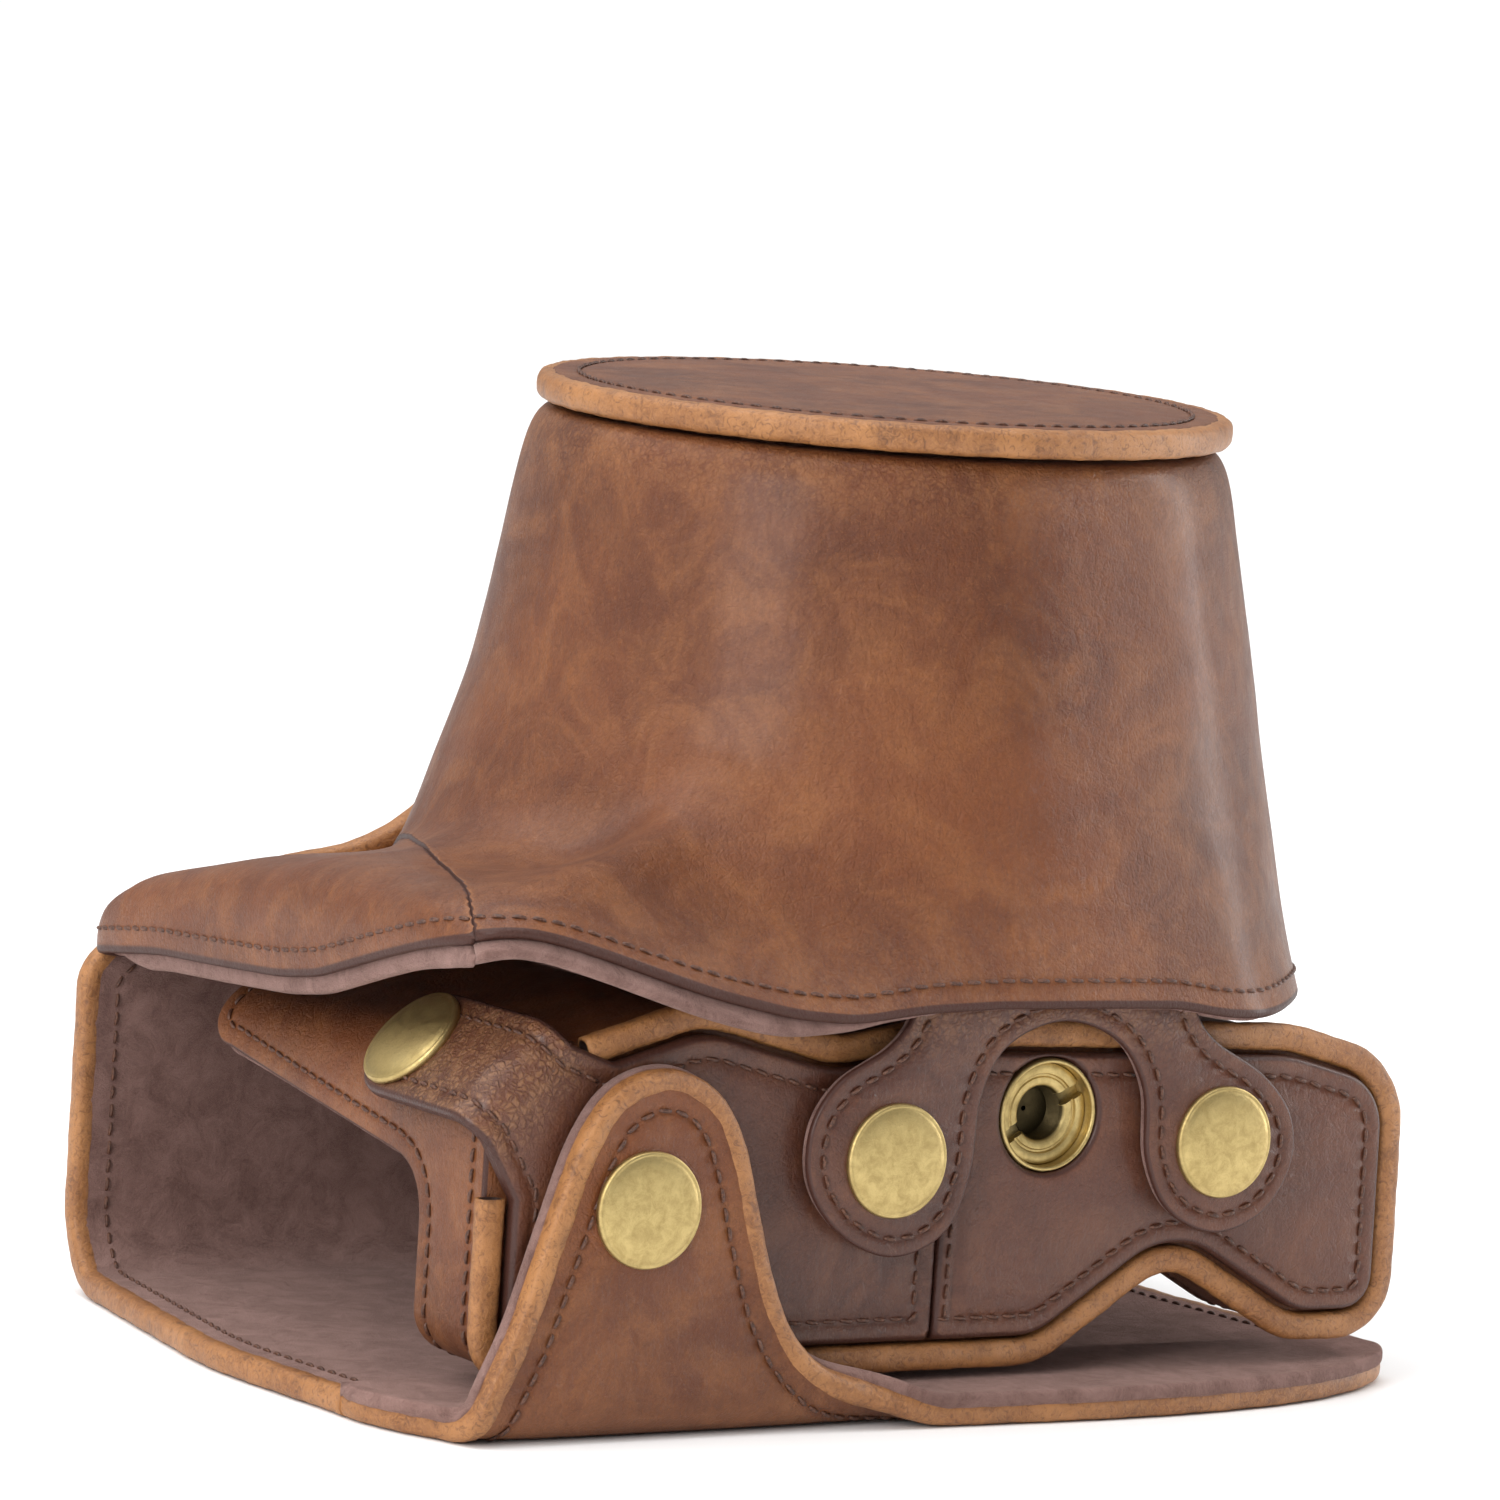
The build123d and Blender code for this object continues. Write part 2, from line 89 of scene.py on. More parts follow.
class Body(Enum):
    """Rigid bodies that the pieces ride on."""

    HALF_CASE = "half_case"
    SCREW = "tripod_screw"
    FLAP = "battery_flap"
    STRAP = "flap_strap"
    COVER = "cover"
    FRONT_TAB = "front_tab"
    BACK_PANEL = "back_panel"
    BACK_TAB = "back_tab"


def row(x: float, y: float, z: float) -> Vector:
    """Point of the maker's frame, in the row frame's metres."""
    return Vector(((x - ORIGIN_X) * MM, (y - ORIGIN_Y) * MM, z * MM))


def rows(points: np.ndarray) -> np.ndarray:
    """Array of the maker's points, in the row frame's metres."""
    return (points - np.array([ORIGIN_X, ORIGIN_Y, 0.0])) * MM


# ---- outlines ------------------------------------------------------------------------------
def rounded_loop(corners: Sequence[Corner], step: float) -> np.ndarray:
    """Closed outline with rounded corners.

    Args:
        corners: (u, v, radius) of each corner, in order.
        step: spacing of the points.

    Returns:
        Array of points, without the first one repeated.
    """
    points = [np.array(c[:2], float) for c in corners]
    count = len(points)
    out: list[np.ndarray] = []
    for i, corner in enumerate(points):
        before, after = points[i - 1] - corner, points[(i + 1) % count] - corner
        len_before, len_after = np.linalg.norm(before), np.linalg.norm(after)
        before, after = before / len_before, after / len_after
        half = math.acos(float(np.clip(before @ after, -1, 1))) / 2
        reach = min(corners[i][2] / math.tan(half), 0.49 * len_before, 0.49 * len_after)
        radius = reach * math.tan(half)
        bisector = before + after
        if np.linalg.norm(bisector) < 1e-6 or radius < 1e-3:
            out.append(corner)
            continue
        centre = corner + bisector / np.linalg.norm(bisector) * radius / math.sin(half)
        start, end = corner + before * reach - centre, corner + after * reach - centre
        turn = math.atan2(start[0] * end[1] - start[1] * end[0], float(start @ end))
        pieces = max(2, int(abs(turn) * radius / step))
        base = math.atan2(start[1], start[0])
        for k in range(pieces + 1):
            angle = base + turn * k / pieces
            out.append(centre + radius * np.array([math.cos(angle), math.sin(angle)]))
    return resample(np.array(out), step, closed=True)


def resample(path: np.ndarray, step: float, closed: bool = False) -> np.ndarray:
    """Points along a path at an even spacing.

    Args:
        path: points in two or three dimensions.
        step: wanted spacing.
        closed: whether the path returns to its start.

    Returns:
        The new points; a closed path's first point isn't repeated.
    """
    if closed:
        path = np.vstack([path, path[:1]])
    lengths = np.concatenate([[0], np.cumsum(np.linalg.norm(np.diff(path, axis=0), axis=1))])
    count = max(2, int(round(lengths[-1] / step)))
    places = np.linspace(0, lengths[-1], count + 1)
    new = np.stack([np.interp(places, lengths, path[:, k]) for k in range(path.shape[1])], axis=1)
    return new[:-1] if closed else new


def signed_area(loop: np.ndarray) -> float:
    """Area of a loop, positive when it runs anticlockwise."""
    x, y = loop[:, 0], loop[:, 1]
    return float(np.sum(x * np.roll(y, -1) - np.roll(x, -1) * y)) / 2


def distance_to(points: np.ndarray, path: np.ndarray, closed: bool = True) -> np.ndarray:
    """Distance of each point to the nearest segment of a path.

    Args:
        points: points of a pattern.
        path: corners of the path.
        closed: whether the path returns to its start.

    Returns:
        One distance for each point.
    """
    a = path if closed else path[:-1]
    b = np.roll(path, -1, axis=0) if closed else path[1:]
    d = b - a
    out = np.full(len(points), 1e9)
    for k in range(0, len(points), 2000):
        part = points[k:k + 2000, None, :] - a[None]
        t = np.clip(np.sum(part * d, axis=2) / np.maximum(np.sum(d * d, axis=1), 1e-12), 0, 1)
        out[k:k + 2000] = np.linalg.norm(part - t[..., None] * d, axis=2).min(axis=1)
    return out


def inside(points: np.ndarray, loop: np.ndarray) -> np.ndarray:
    """Which points lie inside a loop.

    Args:
        points: points of a pattern.
        loop: the closed outline.

    Returns:
        True for each point inside.
    """
    x, y = points[:, 0][:, None], points[:, 1][:, None]
    ax, ay = loop[:, 0][None], loop[:, 1][None]
    bx, by = np.roll(loop[:, 0], -1)[None], np.roll(loop[:, 1], -1)[None]
    rising = (ay > y) != (by > y)
    cross = x < (bx - ax) * (y - ay) / np.where(by == ay, 1e-12, by - ay) + ax
    return np.sum(rising & cross, axis=1) % 2 == 1


def inset_loop(loop: np.ndarray, inset: float) -> np.ndarray:
    """Loop moved inwards, without the folds of tight corners.

    Args:
        loop: the closed outline.
        inset: distance to move it; a negative one moves it outwards.

    Returns:
        The moved points.
    """
    if signed_area(loop) < 0:
        loop = loop[::-1]
    tangent = np.roll(loop, -1, axis=0) - np.roll(loop, 1, axis=0)
    tangent /= np.maximum(np.linalg.norm(tangent, axis=1, keepdims=True), 1e-9)
    moved = loop + inset * np.stack([-tangent[:, 1], tangent[:, 0]], axis=1)
    return moved[distance_to(moved, loop) > abs(inset) * 0.97 - 1e-6]


# ---- meshes --------------------------------------------------------------------------------
DENT_DEPTH, DENT_WIDTH = 0.22, 0.42
SWELL_REACH = 2.5
ROLL_SQUARENESS = 0.72


def new_object(name: str, verts: np.ndarray, faces: Sequence[Sequence[int]],
               edge: Optional[np.ndarray] = None,
               worn: Optional[np.ndarray] = None) -> bpy.types.Object:
    """Mesh object from the maker's points, smooth shaded.

    Args:
        name: name of the piece.
        verts: points in millimetres.
        faces: indices of each face.
        edge: how far each point belongs to a cut edge, from 0 to 1.
        worn: how far each point is rubbed, from 0 to 1.

    Returns:
        The linked object.
    """
    mesh = bpy.data.meshes.new(name)
    mesh.from_pydata([tuple(v) for v in rows(verts)], [], [tuple(f) for f in faces])
    marks = mesh.attributes.new("cut_edge", "FLOAT", "POINT")
    if edge is not None:
        marks.data.foreach_set("value", np.asarray(edge, np.float32))
    rubbed = mesh.attributes.new("worn", "FLOAT", "POINT")
    if worn is not None:
        rubbed.data.foreach_set("value", np.asarray(worn, np.float32))
    body = bmesh.new()
    body.from_mesh(mesh)
    bmesh.ops.recalc_face_normals(body, faces=body.faces)
    body.to_mesh(mesh)
    body.free()
    mesh.polygons.foreach_set("use_smooth", [True] * len(mesh.polygons))
    mesh.update()
    obj = bpy.data.objects.new(name, mesh)
    bpy.context.scene.collection.objects.link(obj)
    return obj


def triangulate(loops: Sequence[np.ndarray], extra: np.ndarray) -> tuple[np.ndarray, list]:
    """Fills an outline with triangles.

    Args:
        loops: the outer loop and then any holes.
        extra: points inside to use as well.

    Returns:
        The points and the triangles.
    """
    verts: list = []
    edges: list = []
    for loop in loops:
        first = len(verts)
        verts += [Vector(p) for p in loop]
        edges += [(first + i, first + (i + 1) % len(loop)) for i in range(len(loop))]
    verts += [Vector(p) for p in extra]
    out, _, faces, _, _, _ = delaunay_2d_cdt(verts, edges, [], 1, 1e-5)
    points = np.array([tuple(p) for p in out])
    middles = np.array([points[list(f)].mean(axis=0) for f in faces])
    keep = inside(middles, loops[0])
    for hole in loops[1:]:
        keep &= ~inside(middles, hole)
    return points, [f for f, good in zip(faces, keep) if good]


@dataclass
class CutPanel:
    """Flat pattern cut from leather or suede, with rounded edges, then bent into place.

    Attributes:
        name: name of the piece.
        loops: outer loop and holes of the pattern.
        thickness: thickness of the leather.
        place: turns (u, v, height) arrays into the maker's points.
        rounding: radius of the cut edge.
        grid: spacing of the points inside.
        stitch_inset: distance of the sewn rows from the edge, where the leather is pulled in.
        crown: how far the leather swells between its sewn rows.
        fuzz: height of the nap.
        parting: v of a straight edge that meets the next panel, left square.
        wear: how far the leather is rubbed, from 0 to 1, over the pattern.
    """

    name: str
    loops: Sequence[np.ndarray]
    thickness: float
    place: Placement
    rounding: float = 0.5
    grid: float = 1.4
    stitch_inset: float = 0.0
    crown: float = 0.15
    fuzz: float = 0.0
    parting: Optional[float] = None
    wear: Optional[Callable[[np.ndarray, np.ndarray], np.ndarray]] = None

    def points_inside(self) -> np.ndarray:
        """Rings that follow the edge and the sewn row, and a grid in the middle."""
        insets = [self.rounding * f for f in (0.08, 0.3, 0.6, 1.0)]
        clear = insets[-1] + 0.5
        if self.stitch_inset:
            insets += [self.stitch_inset + d for d in (-0.7, -0.35, 0.0, 0.35, 0.7)]
            clear = self.stitch_inset + 1.2
        rings = [inset_loop(self.loops[0], inset) for inset in insets]
        for hole in self.loops[1:]:
            rings += [inset_loop(hole, -inset) for inset in insets]
        low, high = self.loops[0].min(axis=0), self.loops[0].max(axis=0)
        u, v = np.meshgrid(np.arange(low[0], high[0], self.grid), np.arange(low[1], high[1], self.grid))
        u = u + (np.arange(u.shape[0]) % 2)[:, None] * self.grid / 2
        dots = np.stack([u.ravel(), v.ravel()], axis=1)
        dots = dots[inside(dots, self.loops[0])]
        ring_points = np.vstack(rings)
        ring_points = ring_points[self.edge_distance(ring_points) > 0.02]
        return np.vstack([ring_points, dots[self.edge_distance(dots) > clear]])

    def edge_distance(self, points: np.ndarray) -> np.ndarray:
        """Distance of each pattern point to the nearest cut edge."""
        holes = [distance_to(points, loop) for loop in self.loops[1:]]
        return np.min([self.rim_distance(points)] + holes, axis=0)

    def rim_distance(self, points: np.ndarray) -> np.ndarray:
        """Distance of each pattern point to the outer edge, the parting left out."""
        if self.parting is None:
            return distance_to(points, self.loops[0])
        run = longest_run(self.loops[0], np.abs(self.loops[0][:, 1] - self.parting) > 0.2)
        run = np.vstack([[[run[0, 0], self.parting - 6]], run, [[run[-1, 0], self.parting - 6]]])
        return distance_to(points, run, closed=False)

    def build(self) -> bpy.types.Object:
        """Makes the closed mesh."""
        points, faces = triangulate(self.loops, self.points_inside())
        depth = self.edge_distance(points)
        radius = self.rounding
        drop = radius - np.sqrt(np.maximum(radius**2 - (radius - np.minimum(depth, radius)) ** 2, 0))
        top = self.thickness - drop
        if self.stitch_inset:
            rim = self.rim_distance(points)
            pull = np.exp(-(((rim - self.stitch_inset) / DENT_WIDTH) ** 2))
            swell = 1 - np.exp(-np.maximum(rim - self.stitch_inset, 0) / SWELL_REACH)
            top += self.crown * swell - DENT_DEPTH * pull
        if self.fuzz:
            top += self.fuzz * np.sin(points[:, 0] * 7.3) * np.sin(points[:, 1] * 8.1 + points[:, 0])
        bottom = np.minimum(drop, self.thickness / 2 - 0.01)
        u, v = points[:, 0], points[:, 1]
        verts = np.vstack([self.place(u, v, top), self.place(u, v, bottom)])
        count = len(points)
        all_faces = [tuple(f) for f in faces] + [tuple(count + i for i in reversed(f)) for f in faces]
        seen: dict = {}
        for face in faces:
            for i in range(3):
                a, b = face[i], face[(i + 1) % 3]
                if (b, a) in seen:
                    del seen[(b, a)]
                else:
                    seen[(a, b)] = True
        all_faces += [(b, a, count + a, count + b) for a, b in seen]
        mark = np.clip(1.25 - depth / radius, 0, 1)
        rub = np.zeros(count) if self.wear is None else self.wear(u, v)
        return new_object(self.name, verts, all_faces, np.concatenate([mark, np.ones(count)]),
                          np.concatenate([rub, rub]))


def shell(name: str, grid: np.ndarray, thickness: float) -> bpy.types.Object:
    """Sheet of even thickness from a grid of outer points that runs all the way round.

    Args:
        name: name of the piece.
        grid: points as [across, along, xyz]; the outside is where the two steps' cross product points.
        thickness: thickness, measured inwards.

    Returns:
        The object.
    """
    normal = grid_normals(grid)
    along = np.gradient(grid, axis=1)
    along /= np.maximum(np.linalg.norm(along, axis=2, keepdims=True), 1e-9)
    half = thickness / 2
    start = [grid[:, :1] - normal[:, :1] * half * (1 - math.cos(a)) - along[:, :1] * half * math.sin(a)
             for a in (math.pi * 0.75, math.pi * 0.5, math.pi * 0.25)]
    end = [grid[:, -1:] - normal[:, -1:] * half * (1 - math.cos(a)) + along[:, -1:] * half * math.sin(a)
           for a in (math.pi * 0.25, math.pi * 0.5, math.pi * 0.75)]
    inner = (grid - normal * thickness)[:, ::-1]
    ring = np.concatenate([grid, *end, inner, *start], axis=1)
    across, around = ring.shape[:2]
    length = grid.shape[1]
    mark = np.zeros((across, around))
    mark[:, length - 1:length + 4] = 1.0
    mark[:, -3:] = 1.0
    mark[:, 0] = 1.0
    faces = []
    for i in range(across):
        j = (i + 1) % across
        for k in range(around):
            m = (k + 1) % around
            faces.append((i * around + k, j * around + k, j * around + m, i * around + m))
    return new_object(name, ring.reshape(-1, 3), faces, mark.ravel())


def grid_normals(grid: np.ndarray) -> np.ndarray:
    """Outward normals of a grid of points that runs all the way round."""
    across = np.roll(grid, -1, axis=0) - np.roll(grid, 1, axis=0)
    normal = np.cross(across, np.gradient(grid, axis=1))
    return normal / np.maximum(np.linalg.norm(normal, axis=2, keepdims=True), 1e-9)


def frames_along(path: np.ndarray, up: np.ndarray, closed: bool) -> tuple[np.ndarray, np.ndarray]:
    """Side and up directions along a path.

    Args:
        path: points of the path.
        up: directions that the up ones are kept close to.
        closed: whether the path returns to its start.

    Returns:
        The side directions and the up directions.
    """
    if closed:
        tangent = np.roll(path, -1, axis=0) - np.roll(path, 1, axis=0)
    else:
        tangent = np.gradient(path, axis=0)
    tangent /= np.maximum(np.linalg.norm(tangent, axis=1, keepdims=True), 1e-9)
    side = np.cross(tangent, up)
    side /= np.maximum(np.linalg.norm(side, axis=1, keepdims=True), 1e-9)
    return side, np.cross(side, tangent)


def roll(name: str, path: np.ndarray, up: np.ndarray, width: float, height: float,
         closed: bool = False, sides: int = 16, shaded_end_hollows: bool = False) -> bpy.types.Object:
    """Rolled edge of oval section along a path.

    Args:
        name: name of the piece.
        path: centre line, in the maker's millimetres.
        up: normal at each point, which the height is measured along.
        width: width of the section.
        height: height of the section.
        closed: whether it returns to its start.
        sides: points round the section.
        shaded_end_hollows: whether the cut ends show the roll's hollow, recessed and painted near-black as
            shade inside it.

    Returns:
        The object.
    """
    side, top = frames_along(path, up, closed)
    angles = np.linspace(0, 2 * math.pi, sides, endpoint=False)
    wobble = 1 + 0.02 * np.sin(np.arange(len(path)) * 0.7) + 0.015 * np.sin(np.arange(len(path)) * 1.9)
    wide = np.sign(np.cos(angles)) * np.abs(np.cos(angles)) ** ROLL_SQUARENESS * width / 2
    tall = np.sign(np.sin(angles)) * np.abs(np.sin(angles)) ** ROLL_SQUARENESS * height / 2
    ring = (path[:, None] + side[:, None] * wide[None, :, None] * wobble[:, None, None]
            + top[:, None] * tall[None, :, None] * wobble[:, None, None])
    count = len(path)
    marks = np.zeros((count, sides))
    if not closed:
        into = path[1] - path[0], path[-2] - path[-1]
        rims = []
        for end, step in ((0, into[0]), (-1, into[1])):
            step = step / np.linalg.norm(step)
            centre = path[end]
            lip = centre + (ring[end] - centre) * 0.72
            deep = centre + (ring[end] - centre) * 0.6 + step * (1.6 if shaded_end_hollows else -0.25)
            rims.append((lip, deep))
        ring = np.concatenate([rims[0][1][None], rims[0][0][None], ring, rims[1][0][None], rims[1][1][None]])
        # Hollow ends are marked in full, so the tan finish paints the inside of the hollow near-black:
        # painted shade.
        dark = 1.0 if shaded_end_hollows else 0.4
        marks = np.concatenate([np.full((2, sides), dark), marks, np.full((2, sides), dark)])
    count = len(ring)
    faces = []
    for i in range(count if closed else count - 1):
        j = (i + 1) % count
        for k in range(sides):
            m = (k + 1) % sides
            faces.append((i * sides + k, j * sides + k, j * sides + m, i * sides + m))
    if not closed:
        faces.append(tuple(range(sides)))
        faces.append(tuple((count - 1) * sides + k for k in range(sides)))
    return new_object(name, ring.reshape(-1, 3), faces, marks.ravel())


@dataclass
class Stitching:
    """Sewn rows of short stitches in waxed thread.

    Attributes:
        name: name of the piece.
        pitch: spacing of the stitches.
        length: length of each stitch.
        radius: radius of the thread.
        lines: the rows, each as its path, normals and whether it is closed.
    """

    name: str
    pitch: float = 2.15
    length: float = 1.6
    radius: float = 0.23
    lines: list = field(default_factory=list)

    def add(self, path: np.ndarray, normal: np.ndarray, closed: bool = False) -> "Stitching":
        """Adds one row along a path with its surface normals."""
        self.lines.append((path, normal, closed))
        return self

    def build(self) -> bpy.types.Object:
        """Makes all the stitches as one mesh."""
        verts, faces = [], []
        profile = [(-0.5, -0.42, 0.45), (-0.4, 0.25, 0.85), (-0.15, 0.62, 1.0), (0.15, 0.62, 1.0),
                   (0.4, 0.25, 0.85), (0.5, -0.42, 0.45)]
        sides = 6
        for path, normal, closed in self.lines:
            joined = np.hstack([path, normal])
            spots = resample(joined, self.pitch, closed)
            side, up = frames_along(spots[:, :3], spots[:, 3:], closed)
            forward = np.cross(up, side)
            for n, (spot, s, u, f) in enumerate(zip(spots[:, :3], side, up, forward)):
                slant = 0.13 if n % 2 else 0.07
                f = f * math.cos(slant) + s * math.sin(slant)
                s = np.cross(f, u)
                first = len(verts)
                for along, lift, fat in profile:
                    centre = spot + f * along * self.length + u * lift * self.radius
                    for k in range(sides):
                        a = 2 * math.pi * k / sides
                        verts.append(centre + (s * math.cos(a) + u * math.sin(a)) * self.radius * fat)
                for i in range(len(profile) - 1):
                    for k in range(sides):
                        m = (k + 1) % sides
                        base = first + i * sides
                        faces.append((base + k, base + m, base + sides + m, base + sides + k))
                faces.append(tuple(first + k for k in range(sides)))
                faces.append(tuple(first + (len(profile) - 1) * sides + k for k in range(sides)))
        return new_object(self.name, np.array(verts), faces)


def lathe(name: str, profile: Sequence[Point2], centre: Point3, axis: Vector,
          segments: int = 72) -> bpy.types.Object:
    """Turned solid piece.

    Args:
        name: name of the piece.
        profile: (radius, height) points from one end to the other.
        centre: where height is 0.
        axis: direction of the height.
        segments: points round it.

    Returns:
        The object.
    """
    axis = axis.normalized()
    side = axis.orthogonal().normalized()
    other = axis.cross(side)
    verts, faces = [], []
    for radius, height in profile:
        for k in range(segments):
            a = 2 * math.pi * k / segments
            verts.append(Vector(centre) + axis * height + (side * math.cos(a) + other * math.sin(a)) * radius)
    for i in range(len(profile) - 1):
        for k in range(segments):
            m = (k + 1) % segments
            faces.append((i * segments + k, i * segments + m, (i + 1) * segments + m, (i + 1) * segments + k))
    faces.append(tuple(range(segments)))
    faces.append(tuple((len(profile) - 1) * segments + k for k in range(segments)))
    return new_object(name, np.array([tuple(v) for v in verts]), faces)


# ---- finishes ------------------------------------------------------------------------------
class NodeGraph:
    """Small helper that adds shader nodes to one material."""

    def __init__(self, name: str) -> None:
        """Starts an empty material with one shader."""
        self.material = bpy.data.materials.new(name)
        self.material.use_nodes = True
        self.tree = self.material.node_tree
        self.shader = self.tree.nodes["Principled BSDF"]
        coords = self.add("ShaderNodeTexCoord")
        self.mm = self.math_vector("MULTIPLY", coords.outputs["Object"], (1000.0, 1000.0, 1000.0))

    def add(self, kind: str, **values: object) -> bpy.types.Node:
        """Adds a node and sets its plain properties."""
        node = self.tree.nodes.new(kind)
        for key, value in values.items():
            setattr(node, key, value)
        return node

    def link(self, source: bpy.types.NodeSocket, target: bpy.types.NodeSocket) -> None:
        """Joins two sockets."""
        self.tree.links.new(source, target)

    def math_vector(self, operation: str, a: bpy.types.NodeSocket, b: object) -> bpy.types.NodeSocket:
        """Vector arithmetic with a constant or another socket."""
        node = self.add("ShaderNodeVectorMath", operation=operation)
        self.link(a, node.inputs[0])
        if isinstance(b, tuple):
            node.inputs[1].default_value = b
        else:
            self.link(b, node.inputs[1])
        return node.outputs[0]

    def math(self, operation: str, a: object, b: object) -> bpy.types.NodeSocket:
        """Arithmetic on two values or sockets."""
        node = self.add("ShaderNodeMath", operation=operation)
        for socket, value in zip(node.inputs, (a, b)):
            if isinstance(value, (int, float)):
                socket.default_value = value
            else:
                self.link(value, socket)
        return node.outputs[0]

    def noise(self, scale: float, detail: float = 3.0, rough: float = 0.55,
              stretch: Point3 = (1.0, 1.0, 1.0), twist: float = 0.0) -> bpy.types.NodeSocket:
        """Soft noise.

        Args:
            scale: cycles for each millimetre.
            detail: number of finer layers.
            rough: weight of the finer layers.
            stretch: scale along each axis.
            twist: how far the noise distorts itself.

        Returns:
            The socket.
        """
        node = self.add("ShaderNodeTexNoise")
        node.inputs["Scale"].default_value = scale
        node.inputs["Detail"].default_value = detail
        node.inputs["Roughness"].default_value = rough
        node.inputs["Distortion"].default_value = twist
        self.link(self.math_vector("MULTIPLY", self.mm, stretch), node.inputs["Vector"])
        return node.outputs["Fac"]

    def cells(self, scale: float, warp: float) -> bpy.types.NodeSocket:
        """Distance to the edge of the cells of leather grain.

        Args:
            scale: cells for each millimetre.
            warp: how far the cells are bent, in millimetres.

        Returns:
            The socket.
        """
        node = self.add("ShaderNodeTexVoronoi", feature="DISTANCE_TO_EDGE")
        node.inputs["Scale"].default_value = scale
        bend = self.add("ShaderNodeTexNoise")
        bend.inputs["Scale"].default_value = scale * 0.6
        self.link(self.mm, bend.inputs["Vector"])
        shift = self.math_vector("MULTIPLY", bend.outputs["Color"], (warp, warp, warp))
        self.link(self.math_vector("ADD", self.mm, shift), node.inputs["Vector"])
        return node.outputs["Distance"]

    def ramp(self, value: bpy.types.NodeSocket, low: float, high: float) -> bpy.types.NodeSocket:
        """Value stretched so that low gives 0 and high gives 1."""
        node = self.add("ShaderNodeMapRange", interpolation_type="SMOOTHSTEP")
        node.inputs["From Min"].default_value = low
        node.inputs["From Max"].default_value = high
        self.link(value, node.inputs["Value"])
        return node.outputs[0]

    def mix(self, factor: object, a: object, b: object, blend: str = "MIX") -> bpy.types.NodeSocket:
        """Mix of two colours.

        Args:
            factor: share of the second one, a value or a socket.
            a, b: the colours, each a tuple or a socket.
            blend: how they mix.

        Returns:
            The mixed colour.
        """
        node = self.add("ShaderNodeMix", data_type="RGBA", blend_type=blend)
        if isinstance(factor, (int, float)):
            node.inputs[0].default_value = factor
        else:
            self.link(factor, node.inputs[0])
        for socket, value in ((node.inputs[6], a), (node.inputs[7], b)):
            if isinstance(value, tuple):
                socket.default_value = (*value, 1.0)
            else:
                self.link(value, socket)
        return node.outputs[2]

    def bump(self, layers: Sequence[tuple[bpy.types.NodeSocket, float]]) -> None:
        """Stacks bumps, each with its depth in millimetres."""
        normal = None
        for height, depth in layers:
            node = self.add("ShaderNodeBump")
            node.inputs["Distance"].default_value = depth * MM
            node.inputs["Strength"].default_value = 1.0
            self.link(height, node.inputs["Height"])
            if normal is not None:
                self.link(normal, node.inputs["Normal"])
            normal = node.outputs[0]
        self.link(normal, self.shader.inputs["Normal"])

    def mark(self, name: str) -> bpy.types.NodeSocket:
        """Value that the mesh carries, such as cut_edge or worn."""
        return self.add("ShaderNodeAttribute", attribute_name=name).outputs["Fac"]


